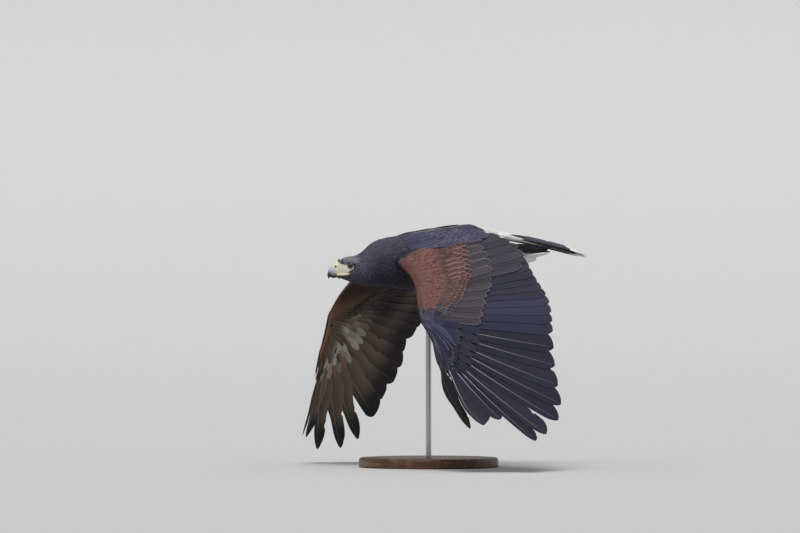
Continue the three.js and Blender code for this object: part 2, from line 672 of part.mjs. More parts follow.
// Each toe bends from one angle to the next; angles are measured from straight back, positive downward.
// It goes from one distance aside to another, inward negative
const TOES = [
  { aside: [-1, -4], angles: [-80, -35, 15], steps: [9, 9, 5], claw: [55, 95, 135], clawStep: 7.5 },
  { aside: [-4.5, -11], angles: [75, 35, -5], steps: [9, 9, 8], claw: [-45, -85, -125], clawStep: 7.5 },
  { aside: [0, 0], angles: [80, 50, 10, -35], steps: [10, 11, 10, 7], claw: [-70, -105, -140], clawStep: 6 },
  { aside: [4.5, 11], angles: [75, 40, 5], steps: [8, 9, 9], claw: [-35, -75, -115], clawStep: 5.8 },
];
const TOE_RADII = [5, 4.6, 4.4, 4, 3.4];
const CLAW_SHARES = [0.84, 0.55, 0.1];

function toeRings(side, { aside, angles, steps, claw, clawStep }) {
  const back = direction(-Math.cos(SHIN_SLOPE), 0, Math.sin(SHIN_SLOPE));
  const down = direction(-Math.sin(SHIN_SLOPE), 0, -Math.cos(SHIN_SLOPE));
  const turns = [...angles, ...claw];
  const paces = [...steps, ...claw.map(() => clawStep)];
  const points = [place(TOE_START[0], side * (TOE_START[1] + aside[0]), TOE_START[2])];
  turns.forEach((degrees, i) => {
    const next = points[i].clone().addScaledVector(LEFT, side * (aside[1] - aside[0]) / turns.length);
    next.addScaledVector(back, Math.cos(radians(degrees)) * paces[i]);
    points.push(next.addScaledVector(down, Math.sin(radians(degrees)) * paces[i]));
  });
  const last = TOE_RADII[angles.length];
  const radii = [...TOE_RADII.slice(0, angles.length + 1), ...CLAW_SHARES.map((share) => share * last)];
  return ringsAlong(points, radii, LEFT);
}

function makeLeg(side) {
  const path = LEG.map(([forward, out, up]) => place(forward, side * out, up));
  const rings = ringsAlong(path, LEG.map((point) => point[3]), LEFT, 12);
  const [thigh, tarsus, ankle] = partedLoft(rings, [THIGH_END, TARSUS_END]);
  const toes = TOES.map((toe) => partedLoft(toeRings(side, toe), [toe.angles.length]));
  return {
    thigh: largest(cut(thigh, [TRUNK_CLEAR])),
    tarsus,
    foot: largest(join([ankle, ...toes.map(([toe]) => toe)])),
    talons: toes.map(([, claw]) => claw),
  };
}

// The base's profile from the middle of its underside to the middle of its top, as radius and height
const BASE_PROFILE = [
  [0, 0], [BASE_RADIUS - 4, 0], [BASE_RADIUS, 4], [BASE_RADIUS, BASE_HEIGHT - 4],
  [BASE_RADIUS - 6, BASE_HEIGHT], [0, BASE_HEIGHT],
];
const BASE_FACETS = 36;
const ROD_FACETS = 20;

function makeStand() {
  const base = new THREE.LatheGeometry(BASE_PROFILE.map(([x, y]) => new THREE.Vector2(x, y)), BASE_FACETS);
  base.rotateX(Math.PI / 2);
  const rodLength = SHOULDER_HEIGHT - BASE_HEIGHT;
  const rod = new THREE.CylinderGeometry(ROD_RADIUS, ROD_RADIUS, rodLength, ROD_FACETS);
  rod.rotateX(Math.PI / 2);
  rod.translate(0, 0, BASE_HEIGHT + GAP + rodLength / 2);
  return { base: solidOf(base), rod: largest(cut(solidOf(rod), [TRUNK_CLEAR])) };
}

const group = new THREE.Group();
function addNode(name, solid, color, roughness = 0.8, metalness = 0) {
  const material = new THREE.MeshStandardMaterial({ color, roughness, metalness });
  const mesh = new THREE.Mesh(geometryOf(solid), material);
  mesh.name = name;
  group.add(mesh);
}

const PLUMAGE = 0x3a302d;
const SLATE = 0x2c2a2d;
const RUFOUS = 0x6e3a22;
const YELLOW = 0xd9b23a;
const HORN = 0x24262b;

addNode("head", makeHead(), PLUMAGE);
addNode("cere", makeCere(), YELLOW, 0.5);
addNode("beak_upper", loft(UPPER_BEAK.map((s) => headRing(s, 14))), HORN, 0.35);
addNode("beak_lower", loft(LOWER_BEAK.map((s) => headRing(s, 12))), HORN, 0.4);
addNode("neck", makeNeck(), PLUMAGE);
addNode("torso", loft(TRUNK.map((s) => trunkRing(s))), PLUMAGE);
addNode("tail", makeTail(), SLATE);
for (const [name, side] of [["left", 1], ["right", -1]]) {
  const leg = makeLeg(side);
  addNode(`eye_${name}`, ball(mirrored(EYE, side), EYE_RADIUS, EYE_FACETS), 0x2a1608, 0.1);
  addNode(`wing_${name}`, makeWing(WINGS[name]), SLATE);
  addNode(`thigh_${name}`, leg.thigh, RUFOUS);
  addNode(`tarsus_${name}`, leg.tarsus, YELLOW, 0.55);
  addNode(`foot_${name}`, leg.foot, YELLOW, 0.55);
  leg.talons.forEach((talon, i) => addNode(`talon_${name}_${i + 1}`, talon, HORN, 0.3));
}
const stand = makeStand();
addNode("stand_base", stand.base, 0x4a3020, 0.5);
addNode("stand_rod", stand.rod, 0x8a8a88, 0.35, 0.9);

export default group;
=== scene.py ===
"""A life-size Harris's hawk in flight on a display stand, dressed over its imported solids."""

import math

import bmesh
import bpy
import numpy as np
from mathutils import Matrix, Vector
from mathutils.bvhtree import BVHTree


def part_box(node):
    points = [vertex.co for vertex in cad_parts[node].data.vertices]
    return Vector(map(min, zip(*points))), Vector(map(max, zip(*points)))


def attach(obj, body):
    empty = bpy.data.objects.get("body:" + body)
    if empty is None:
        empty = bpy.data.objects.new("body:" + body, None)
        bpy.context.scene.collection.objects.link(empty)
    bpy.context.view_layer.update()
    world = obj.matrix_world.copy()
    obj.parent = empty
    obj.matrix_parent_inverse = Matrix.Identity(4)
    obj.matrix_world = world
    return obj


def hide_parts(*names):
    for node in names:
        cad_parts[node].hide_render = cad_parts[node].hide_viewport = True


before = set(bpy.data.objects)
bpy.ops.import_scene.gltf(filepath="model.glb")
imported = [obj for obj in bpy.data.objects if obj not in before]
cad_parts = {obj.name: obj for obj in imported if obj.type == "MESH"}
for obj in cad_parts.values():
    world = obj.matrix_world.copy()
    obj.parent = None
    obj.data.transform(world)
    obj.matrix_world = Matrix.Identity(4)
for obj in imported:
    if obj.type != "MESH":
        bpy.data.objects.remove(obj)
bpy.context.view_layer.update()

# Skin of the trunk, neck and head
# One closed skin under the feathers, from the cere to the root of the tail. It lies inside the body's
# outline by the depth of the plumage, which is thin on the head and deep on the breast.
MM = 0.001
SHOULDERS = np.array([0.0, -66.0, 384.0])


def place(forward, left, up):
    """A point in millimetres, from the middle of the shoulders."""
    return np.array([left, -forward, up]) + SHOULDERS


def unit(v):
    return v / np.maximum(np.linalg.norm(v, axis=-1, keepdims=True), 1e-9)


def through(keys, values, at):
    """The values at some places on a smooth curve through keys, which runs straight on past its ends."""
    keys, values = np.asarray(keys, float), np.asarray(values, float)
    at = np.atleast_1d(np.asarray(at, float))
    slopes = np.gradient(values, keys, axis=0) if len(keys) > 2 else np.repeat(
        np.diff(values, axis=0) / np.diff(keys)[0], 2, axis=0)
    i = np.clip(np.searchsorted(keys, at, side="right") - 1, 0, len(keys) - 2)
    span = keys[i + 1] - keys[i]
    t = np.clip((at - keys[i]) / span, 0, 1)
    if values.ndim > 1:
        t, span = t[:, None], span[:, None]
    ease = t * t * (3 - 2 * t)
    found = values[i] * (1 - ease) + values[i + 1] * ease
    found = found + span * t * (1 - t) * (slopes[i] * (1 - t) - slopes[i + 1] * t)
    beyond = at - np.clip(at, keys[0], keys[-1])
    end = np.where(beyond < 0, 0, len(keys) - 1)
    return found + (slopes[end] * beyond[:, None] if values.ndim > 1 else slopes[end] * beyond)


def smoothstep(low, high, x):
    t = np.clip((x - low) / (high - low), 0, 1)
    return t * t * (3 - 2 * t)


HEAD_TURN = math.radians(18)
HEAD_CENTRE = place(90.5, -6, -20)
HEAD_AHEAD = np.array([-math.sin(HEAD_TURN), -math.cos(HEAD_TURN), 0])
HEAD_LEFT = np.array([math.cos(HEAD_TURN), -math.sin(HEAD_TURN), 0])
UP = np.array([0.0, 0.0, 1.0])
LEFT = np.array([1.0, 0.0, 0.0])


def in_head(ahead, left, up):
    """A point of the head, in its own turned frame."""
    return HEAD_CENTRE + np.multiply.outer(ahead, HEAD_AHEAD) + np.multiply.outer(left, HEAD_LEFT) \
        + np.multiply.outer(up, UP)


def to_head(points):
    """Points in the head's frame, as ahead, left and up."""
    q = points - HEAD_CENTRE
    return np.stack([q @ HEAD_AHEAD, q @ HEAD_LEFT, q[..., 2]], -1)


# Head sections: top and bottom as (ahead, up), half width, depth of plumage
HEAD_SECTIONS = [
    ((30.5, 12.5), (30.5, -14.5), 6.5, 0.0), ((29.2, 15.6), (29.2, -16.2), 9.4, 0.2),
    ((24, 16.9), (24, -17.2), 13, 0.5), ((17, 20.8), (17, -19.8), 17.5, 0.9),
    ((8, 23.5), (8, -23.5), 22, 1.2),
    ((-2, 24.5), (-2, -28), 25, 1.6), ((-12, 28), (-12, -31), 27, 2.2), ((-21, 37), (-20, -33), 29.5, 3.0),
]
# Trunk sections: distance ahead of the shoulders, top, underside, half width, depth of plumage
TRUNK_SECTIONS = [
    (53, 30, -54, 33, 3.6), (36, 37.5, -55, 37, 4), (16, 41, -57, 43, 4.2), (-15, 46.5, -60, 46, 4.4),
    (-50, 52, -62, 47, 4.6), (-90, 55, -58, 46, 4.6), (-128, 57, -48, 42, 4.4), (-160, 55.5, -34, 35, 4),
    (-186, 50, -18, 27, 3.6), (-204, 48.5, 4, 22, 3.2), (-222, 45, 26, 15, 2.6), (-236, 41.5, 33, 8, 1.5),
]


def body_sections():
    """All sections from beak to tail: top, underside, sideways direction, half width and depth of plumage."""
    rows = [(in_head(a, 0, b), in_head(c, 0, d), HEAD_LEFT, wide, deep)
            for (a, b), (c, d), wide, deep in HEAD_SECTIONS]
    rows += [(place(f, 0, top), place(f, 0, low), LEFT, wide, deep)
             for f, top, low, wide, deep in TRUNK_SECTIONS]
    return rows


def oval_rings(tops, bottoms, sides, halves, deep, count, power=2.2):
    """Rings of points round oval sections, each sunk by its depth. Ring by point by 3."""
    up = tops - bottoms
    high = np.linalg.norm(up, axis=1) / 2 - deep
    up = unit(up)
    middle = (tops + bottoms) / 2
    angle = np.arange(count) / count * 2 * np.pi
    x, z = (np.sign(v) * np.abs(v) ** (2 / power) for v in (np.cos(angle), np.sin(angle)))
    x = x[None, :, None] * ((halves - deep)[:, None, None] * sides[:, None, :])
    z = z[None, :, None] * (high[:, None, None] * up[:, None, :])
    return middle[:, None, :] + x + z


def grid_through(tops, bottoms, sides, halves, deeps, step, count, power=2.2):
    """A fine grid of rings through a few sections, about a step apart."""
    middle = (tops + bottoms) / 2
    keys = np.concatenate([[0], np.cumsum(np.linalg.norm(np.diff(middle, axis=0), axis=1))])
    at = np.linspace(0, keys[-1], int(keys[-1] / step) + 2)
    tops, bottoms, sides = (through(keys, v, at) for v in (tops, bottoms, sides))
    halves, deeps = through(keys, halves, at), through(keys, deeps, at)
    return oval_rings(tops, bottoms, unit(sides), halves, deeps, count, power)


BODY_GRID = grid_through(*[np.array(column) for column in zip(*body_sections())], step=1.25, count=120)


def path_distance(points, path):
    """How far points are from a path, and the share of the path where they are nearest."""
    best, share = np.full(len(points), 1e9), np.zeros(len(points))
    for k in range(len(path) - 1):
        a, b = path[k], path[k + 1]
        t = np.clip((points - a) @ (b - a) / ((b - a) @ (b - a)), 0, 1)
        far = np.linalg.norm(points - a - t[:, None] * (b - a), axis=1)
        nearer = far < best
        best[nearer], share[nearer] = far[nearer], (k + t[nearer]) / (len(path) - 1)
    return best, share


EYE = (6, 15, 5.2)
EYE_RADIUS = 7.4
EYE_AXIS = (0.42, 0.9, -0.18)
BROW = [(-6, 21.0, 10.5), (2.5, 21.6, 12.6), (10.5, 19.2, 12.9), (18, 14.6, 11.4), (24, 11, 9.5)]
MOUTH = [(30, 7.5, -10.3), (23, 12.9, -10.9), (16, 17.0, -10.3), (9.5, 20.1, -9.0)]
# Edges and depths of the eye's socket and of the hollow round it; heights, widths and depths in millimetres
SOCKET_EDGE, SOCKET_DEPTH, HOLLOW_EDGE, HOLLOW_DEPTH = (5.8, 4.5), 7, (11.5, 6.0), 1.1
BROW_HEIGHT, BROW_WIDTH, LIP_HEIGHT, LIP_WIDTH, GROOVE_DEPTH, GROOVE_WIDTH = 2.0, 2.7, 1.0, 1.7, 1.3, 0.8
FACE_BACK = -16  # how far back in the head's frame the face goes


def ridge(points, path, width):
    """1 on a path and falling to nothing beside it, and the share of the path where each point is nearest."""
    far, share = path_distance(points, path)
    return np.exp(-(far / width) ** 2), share


def sculpt_face(points, side):
    """Moves the skin of one side of the face: the eye's socket, the brow over it, the cheek and the mouth."""
    axis = unit(EYE_AXIS[0] * HEAD_AHEAD + side * EYE_AXIS[1] * HEAD_LEFT + EYE_AXIS[2] * UP)
    centre = in_head(EYE[0], side * EYE[1], EYE[2])
    from_eye = points - centre
    reach = from_eye @ axis
    off = from_eye - reach[:, None] * axis
    off_axis = np.linalg.norm(off + 0.18 * (off @ UP)[:, None] * UP, axis=1)
    facing = smoothstep(0, 3, reach)
    points = points - axis * (facing * smoothstep(*SOCKET_EDGE, off_axis) * SOCKET_DEPTH)[:, None]
    points = points - axis * (facing * smoothstep(*HOLLOW_EDGE, off_axis) * HOLLOW_DEPTH)[:, None]
    brow = np.array([in_head(a, side * l, u) for a, l, u in BROW])
    near, share = ridge(points, brow, BROW_WIDTH)
    near = near * np.sin(np.pi * np.clip(share * 0.9 + 0.08, 0, 1))
    points = points + (side * HEAD_LEFT * 0.8 + UP * 0.6) * (BROW_HEIGHT * near)[:, None]
    mouth = np.array([in_head(a, side * l, u) for a, l, u in MOUTH])
    near, share = ridge(points, mouth + UP * 0.9, LIP_WIDTH)
    points = points + side * HEAD_LEFT * (LIP_HEIGHT * near * (1 - share * 0.7))[:, None]
    near, share = ridge(points, mouth - UP * 0.7, GROOVE_WIDTH)
    return points - side * HEAD_LEFT * (GROOVE_DEPTH * near * (1 - share * 0.6))[:, None]


def sculpted(points):
    """The body's grid with both sides of its face worked in."""
    flat = points.reshape(-1, 3)
    near = to_head(flat)
    face = near[:, 0] > FACE_BACK
    for side in (1, -1):
        chosen = face & (near[:, 1] * side > 0)
        flat[chosen] = sculpt_face(flat[chosen], side)
    return flat.reshape(points.shape)


def evened(grid, low, high, passes=90):
    """The rings between two distances ahead of the shoulders, evened out along the neck."""
    ahead = SHOULDERS[1] - grid[:, :, 1].mean(1)
    share = smoothstep(low, low + 12, ahead) * smoothstep(high, high - 12, ahead)
    for _ in range(passes):
        middle = (grid[:-2] + grid[2:]) / 2
        grid[1:-1] += (middle - grid[1:-1]) * 0.5 * share[1:-1, None, None]
    return grid


BODY_GRID = sculpted(evened(BODY_GRID, 14, 98))


def closed_grid(grid):
    """Vertices and faces of a closed skin through a grid of rings."""
    rings, count = grid.shape[:2]
    faces = []
    for r in range(rings - 1):
        for i in range(count):
            a, b = r * count + i, r * count + (i + 1) % count
            faces.append((a, b, b + count, a + count))
    faces.append(tuple(range(count))[::-1])
    faces.append(tuple(range((rings - 1) * count, rings * count)))
    return grid.reshape(-1, 3), faces


def mesh_object(name, points, faces):
    """A mesh object from points in millimetres, with its faces turned outwards."""
    mesh = bpy.data.meshes.new(name)
    mesh.from_pydata((np.asarray(points) * MM).tolist(), [], faces)
    mesh.polygons.foreach_set("use_smooth", [True] * len(mesh.polygons))
    made = bpy.data.objects.new(name, mesh)
    bpy.context.scene.collection.objects.link(made)
    turn_outwards(made)
    return made


def turn_outwards(made):
    editor = bmesh.new()
    editor.from_mesh(made.data)
    bmesh.ops.remove_doubles(editor, verts=editor.verts, dist=1e-7)
    bmesh.ops.recalc_face_normals(editor, faces=editor.faces)
    editor.to_mesh(made.data)
    editor.free()


skin_parts = [mesh_object("skin_body", *closed_grid(BODY_GRID))]

# Wings: their flesh, and the sheets that their feathers lie on
# Each wing hangs from its shoulder, bent at elbow and wrist. Its flight feathers are axes, outermost first,
# and every tier of coverts lies on the sheet which they span, so all of them follow one another's curve.
PRIMARIES, SECONDARIES, TERTIALS = 10, 10, 4
ARM_FEATHERS = SECONDARIES + TERTIALS
SHOULDER_HALF_SPAN = 42
# Places are forward, out and up from a shoulder. sweep and dip turn each feather back and down, in degrees,
# from the outermost one in. fore bends one forwards along its length, and leading is the share ahead of its
# shaft.
WINGS = {
    "left": dict(
        side=1, fingers=1, wrist=(39, 122, -113), patagium_dip=17, dip_lean=1.6, wrist_ahead=7,
        hand=(-0.06, 0.66, -0.745), hand_front=(14.5, 12.5, 7.5, 5, 5),
        fore={0: (6, 16, 12, 6, 0), 1: (0, 6, 13, 17, 8)}, leading={1: 0.12},
        sweep=(-6, 6, 17, 27, 38, 49, 55, 58, 60, 61.5),
        dip=(48, 41.2, 38.3, 38.6, 37.3, 32.4, 27.9, 22.8, 16.6, 10.7),
        length=(164, 180, 187, 264, 266, 269, 264, 251, 240, 236),
        arm_sweep=(62.5, 69.5, 78, 86.5, 90, 94), arm_dip=(5.7, -2.1, -7.5, -14, -13, -10)),
    "right": dict(
        side=-1, fingers=5, wrist=(42, 121, -113), patagium_dip=-14, dip_lean=1, wrist_ahead=13,
        hand=(-0.05, 0.56, -0.83), hand_front=(8, 10, 11, 12, 13), fore={}, leading={},
        sweep=(4, 15.5, 25, 37.5, 46, 54, 58, 62, 65.5, 67),
        dip=(54.9, 46.5, 46.4, 43.3, 41.4, 35, 30, 23.9, 18.6, 13.7),
        length=(173, 207, 253, 279, 276, 254, 240, 240, 234, 226),
        arm_sweep=(68, 73, 80, 87, 90.5, 94), arm_dip=(9, 1, -6.5, -13, -14.5, -13.5)),
}
PRIMARY_WIDTHS = (29, 42, 42, 44, 44, 43, 42, 42, 42, 42)
ARM_KEYS = (0.04, 0.26, 0.47, 0.69, 0.83, 0.97)
ARM_LENGTHS = (232, 216, 191, 172, 166, 144)
ELBOW, ARMPIT, ELBOW_AT = (-33, 74, -49), (-52, 10, 14), 0.7
ARCH_SPAN = 250
FACING_AT = 75  # how far out along the feathers the sheet's upward direction is found
QUILL_START, QUILL_STEP = 6, 10  # the innermost primary's root on the hand, and the gaps between the roots
HAND_ARCH, ARM_ARCH = -6, 5


class Sheet:
    """The surface spanned by feather axes. A place on it is a position in their row and a distance out."""

    def __init__(self, roots, alongs, arches, side):
        self.count = len(roots)
        self.keys = np.arange(self.count, dtype=float)
        self.roots, self.alongs = np.array(roots, float), unit(np.array(alongs, float))
        self.arches, self.side = np.array(arches, float), side
        spots = self.roots + self.alongs * FACING_AT
        outward = np.vstack([spots[:1] - spots[1:2], spots[:-2] - spots[2:], spots[-2:-1] - spots[-1:]])
        self.ups = unit(np.cross(outward, self.alongs) * side)
        self.fine = np.arange(-2.5, self.count + 1.5, 0.05)

    def up(self, position):
        return unit(through(self.keys, self.ups, np.clip(position, -0.5, self.count - 0.5)))

    def along(self, position):
        return unit(through(self.keys, self.alongs, position))

    def point(self, position, distance):
        root = through(self.keys, self.roots, position)
        arch = through(self.keys, self.arches, np.clip(position, 0, self.count - 1))
        curve = 4 * distance / ARCH_SPAN * (1 - distance / ARCH_SPAN)
        raised = self.up(position) * (arch * curve)[:, None]
        return root + self.along(position) * np.reshape(distance, (-1, 1)) + raised

    def across(self, start, distance, steps):
        """Positions that lie some millimetres across the sheet from a start, at one distance."""
        line = self.point(self.fine, distance)
        run = np.concatenate([[0], np.cumsum(np.linalg.norm(np.diff(line, axis=0), axis=1))])
        return np.interp(np.interp(start, self.fine, run) + steps, run, self.fine)


def wing_place(wing, forward, out, up):
    return place(forward, wing["side"] * (SHOULDER_HALF_SPAN + out), up)


def arm_root(wing, at):
    """A place on the line of the arm's feather roots, from the wrist by the elbow to the armpit."""
    keys = [wing_place(wing, *wing["wrist"]), wing_place(wing, *ELBOW), wing_place(wing, *ARMPIT)]
    if at < ELBOW_AT:
        return keys[0] + (keys[1] - keys[0]) * at / ELBOW_AT
    return keys[1] + (keys[2] - keys[1]) * (at - ELBOW_AT) / (1 - ELBOW_AT)


def feather_line(side, sweep, dip):
    """The direction of a feather from its sweep and dip."""
    a, b = math.radians(sweep), math.radians(dip)
    return np.array([side * math.cos(a) * math.cos(b), math.sin(a) * math.cos(b), -math.sin(b)])


def wing_sheet(wing):
    """The sheet that the flight feathers of a wing span, from the outermost primary to the body."""
    side = wing["side"]
    forward, out, up = wing["hand"]
    hand = unit(np.array([side * out, -forward, up]))
    wing["hand_line"] = hand
    roots, alongs, arches, lengths = [], [], [], list(wing["length"])
    for i in range(PRIMARIES):
        from_wrist = QUILL_START + QUILL_STEP * (PRIMARIES - 1 - i)
        roots.append(wing_place(wing, *wing["wrist"]) + hand * from_wrist)
        alongs.append(feather_line(side, wing["sweep"][i], wing["dip"][i]))
        arches.append(HAND_ARCH * (1 - i / PRIMARIES))
    for j in range(ARM_FEATHERS):
        at = (j + 0.6) / ARM_FEATHERS
        roots.append(arm_root(wing, at))
        sweep, dip = (float(through(ARM_KEYS, wing[k], at)[0]) for k in ("arm_sweep", "arm_dip"))
        alongs.append(feather_line(side, sweep, dip))
        arches.append(ARM_ARCH * min(1, at * 3))
        lengths.append(float(through(ARM_KEYS, ARM_LENGTHS, at)[0]))
    wing["lengths"] = lengths
    return Sheet(roots, alongs, arches, side)


for wing in WINGS.values():
    wing["sheet"] = wing_sheet(wing)

# The flesh of a wing, with the bed of its small coverts. A section is its front and back edge, its upward
# direction, and its thickness near the front; the back is as thick as the tiers of coverts that it carries.
HAND_SECTIONS = [(0, 17, 5), (2, 20, 7), (4, 21, 8.5), (6, 22, 10), (8, 23, 11.5)]
ARM_SECTIONS = [(0, 12), (0.2, 13), (0.42, 15), (0.64, 19), (0.84, 25), (1, 29)]
BED_BEHIND, BED_REAR = 25, (6.2, -4.4)
TIP_AT, TIP_FRONT, TIP_BACK, TIP_THICK = 16, 4, 14, 2.6
NOSE = [(0, 0), (0.03, 0.19), (0.12, 0.36), (0.38, 0.5), (0.75, 0.36), (1, 0.2)]
UNDER_NOSE = [(0, 0), (0.03, -0.16), (0.12, -0.27), (0.38, -0.4), (0.75, -0.3), (1, -0.2)]


def wing_bed(wing):
    """Grids of the wing's upper and under skin, from the leading edge back, by section from the tip in."""
    side, sheet, hand = wing["side"], wing["sheet"], wing["hand_line"]
    tip, along = sheet.roots[0] + hand * TIP_AT, sheet.alongs[0]
    chord = unit(np.cross(hand, sheet.ups[0]) * side)
    front = tip + along * TIP_FRONT + chord * (wing["hand_front"][0] - 8) * 1.2
    bed = [(front, tip + along * TIP_BACK, sheet.ups[0], TIP_THICK)]
    for (position, behind, thick), ahead in zip(HAND_SECTIONS, wing["hand_front"]):
        root, up = sheet.roots[position], sheet.ups[position]
        chord = unit(np.cross(hand, up) * side)
        bed.append((root + chord * ahead, root - chord * behind, up, thick))
    wrist_front = wing_place(wing, *wing["wrist"]) + np.array([side * -2, -wing["wrist_ahead"], 3])
    shoulder_front = place(27, side * (SHOULDER_HALF_SPAN + 3), -9)
    for at, thick in ARM_SECTIONS:
        k = PRIMARIES + round(at * (ARM_FEATHERS - 1))
        front = wrist_front + (shoulder_front - wrist_front) * at
        front[1] += wing["patagium_dip"] * math.sin(math.pi * at ** wing["dip_lean"])
        bed.append((front, arm_root(wing, at) + sheet.alongs[k] * BED_BEHIND, sheet.ups[k], thick))
    inwards = np.array([-side * 24, 0, 6])
    front, back, up, thick = bed[-1]
    bed.append((front + inwards, back + inwards, up, thick))
    fronts, backs, ups, thicks = (np.array(column, float) for column in zip(*bed))
    keys = np.concatenate([[0], np.cumsum(np.linalg.norm(np.diff((fronts + backs) / 2, axis=0), axis=1))])
    at = np.linspace(0, keys[-1], int(keys[-1] / 2.5))
    fronts, backs, ups, thicks = (through(keys, v, at) for v in (fronts, backs, ups, thicks))
    chords = backs - fronts
    ahead = unit(chords)
    lifts = unit(ups - (ups * ahead).sum(1)[:, None] * ahead)
    x = (1 - np.cos(np.linspace(0, 1, 24) * np.pi / 2)) ** 1.2
    grids = []
    for profile, rear in zip((NOSE, UNDER_NOSE), BED_REAR):
        share = through(*np.array(profile).T, x)
        shaped = share[:, None] * (thicks - 1.2)[None, :]
        behind = smoothstep(0.35, 1, x)[:, None] * smoothstep(0, 40, at)[None, :]
        height = shaped * (1 - behind) + rear * behind
        grids.append(fronts + x[:, None, None] * chords + height[..., None] * lifts)
    return grids


for name, wing in WINGS.items():
    wing["upper"], wing["under"] = wing_bed(wing)
    section_rings = np.concatenate([wing["upper"][::-1], wing["under"][1:]], 0).transpose(1, 0, 2)
    skin_parts.append(mesh_object(f"skin_wing_{name}", *closed_grid(section_rings)))

# The legs' flesh: thigh and shin, tucked back under the tail
LEG = [(-62, 22, -28, 19), (-95, 28, -48, 23), (-126, 28, -58, 18.5), (-148, 26.5, -61, 12.5),
       (-162, 25, -60, 7)]
THIGH_COAT = 3.0


def tube_grid(path, radii, step, count, aside=LEFT):
    """A fine grid of round rings along a smooth path."""
    path, radii = np.array(path, float), np.array(radii, float)
    keys = np.concatenate([[0], np.cumsum(np.linalg.norm(np.diff(path, axis=0), axis=1))])
    at = np.linspace(0, keys[-1], max(int(keys[-1] / step), 2) + 1)
    points, radii = through(keys, path, at), through(keys, radii, at)
    ahead = unit(np.gradient(points, axis=0))
    up = unit(np.cross(np.broadcast_to(aside, ahead.shape), ahead))
    sides = np.cross(ahead, up)
    return oval_rings(points + up * radii[:, None], points - up * radii[:, None], sides, radii,
                      np.zeros(len(radii)), count, 2)


THIGH_GRIDS = {}
for name, side in (("left", 1), ("right", -1)):
    path = [place(f, side * out, up) for f, out, up, _ in LEG]
    THIGH_GRIDS[name] = tube_grid(path, [r - THIGH_COAT * min(1, (r - 5) / 6) for *_, r in LEG], 2.5, 40)
    skin_parts.append(mesh_object(f"skin_thigh_{name}", *closed_grid(THIGH_GRIDS[name])))


def applied(made):
    """Gives an object the plain mesh that its modifiers make."""
    graph = bpy.context.evaluated_depsgraph_get()
    mesh = bpy.data.meshes.new_from_object(made.evaluated_get(graph))
    made.modifiers.clear()
    old, made.data = made.data, mesh
    mesh.name = made.name
    bpy.data.meshes.remove(old)
    return made


skin = skin_parts[0]
skin.name = "skin"
for part in skin_parts[1:]:
    union = skin.modifiers.new("union", "BOOLEAN")
    union.operation, union.solver, union.object = "UNION", "MANIFOLD", part
applied(skin)
for part in skin_parts[1:]:
    bpy.data.objects.remove(part)
skin.data.polygons.foreach_set("use_smooth", [True] * len(skin.data.polygons))


class Wire:
    """One value in a node tree. Sums, differences and products of wires add Math nodes."""

    def __init__(self, tree, socket):
        self.tree, self.socket = tree, socket

    def add(self, kind, settings=None, inputs=None, output=0):
        """Adds a node: its type, settings, values or wires of its inputs, and the output that is wanted."""
        node = self.tree.nodes.new(kind)
        for key, value in (settings or {}).items():
            setattr(node, key, value)
        for key, value in (inputs or {}).items():
            if isinstance(value, Wire):
                self.tree.links.new(value.socket, node.inputs[key])
            else:
                node.inputs[key].default_value = value
        return Wire(self.tree, node.outputs[output])

    def call(self, operation, other=0.0, swapped=False):
        """This value and another one, or this one alone, through a Math node."""
        first, second = (other, self) if swapped else (self, other)
        return self.add("ShaderNodeMath", {"operation": operation}, {0: first, 1: second})

    def __add__(self, other):
        return self.call("ADD", other)

    def __radd__(self, other):
        return self.call("ADD", other, swapped=True)

    def __sub__(self, other):
        return self.call("SUBTRACT", other)

    def __rsub__(self, other):
        return self.call("SUBTRACT", other, swapped=True)

    def __mul__(self, other):
        return self.call("MULTIPLY", other)

    def __rmul__(self, other):
        return self.call("MULTIPLY", other, swapped=True)

    def step(self, low, high):
        """0 below low, 1 above high, and smooth between."""
        return self.add("ShaderNodeMapRange", {"interpolation_type": "SMOOTHSTEP"},
                        {"Value": self, "From Min": low, "From Max": high, "To Min": 0.0, "To Max": 1.0})

    def mixed(self, first, second):
        """This value's share of the way from one colour to another."""
        return self.add("ShaderNodeMix", {"data_type": "RGBA"}, {0: self, 6: first, 7: second}, 2)


class Paint:
    """A new material, with its Principled shader and ways to start wires."""

    def __init__(self, name, roughness=0.5, **settings):
        self.material = bpy.data.materials.new(name)
        self.material.use_nodes = True
        self.tree = self.material.node_tree
        self.shader = self.tree.nodes["Principled BSDF"]
        self.start = Wire(self.tree, None)
        self.shader.inputs["Roughness"].default_value = roughness
        for key, value in settings.items():
            self.shader.inputs[key.replace("_", " ")].default_value = value

    def trait(self, name):
        return self.start.add("ShaderNodeAttribute", {"attribute_name": name}, output=2)

    def here(self):
        return self.start.add("ShaderNodeTexCoord", output=3)

    def noise(self, vector, scale, detail=3.0, roughness=0.55):
        return self.start.add("ShaderNodeTexNoise", {},
                              {"Vector": vector, "Scale": scale, "Detail": detail, "Roughness": roughness})

    def vector(self, x, y, z):
        return self.start.add("ShaderNodeCombineXYZ", {}, {0: x, 1: y, 2: z})

    def colour(self, wire):
        self.tree.links.new(wire.socket, self.shader.inputs["Base Color"])

    def bump(self, height, distance, strength=0.6):
        values = {"Height": height, "Distance": distance, "Strength": strength}
        made = self.start.add("ShaderNodeBump", {}, values)
        self.tree.links.new(made.socket, self.shader.inputs["Normal"])

    def rough(self, wire):
        self.tree.links.new(wire.socket, self.shader.inputs["Roughness"])


def tone(red, green, blue):
    return (red, green, blue, 1.0)


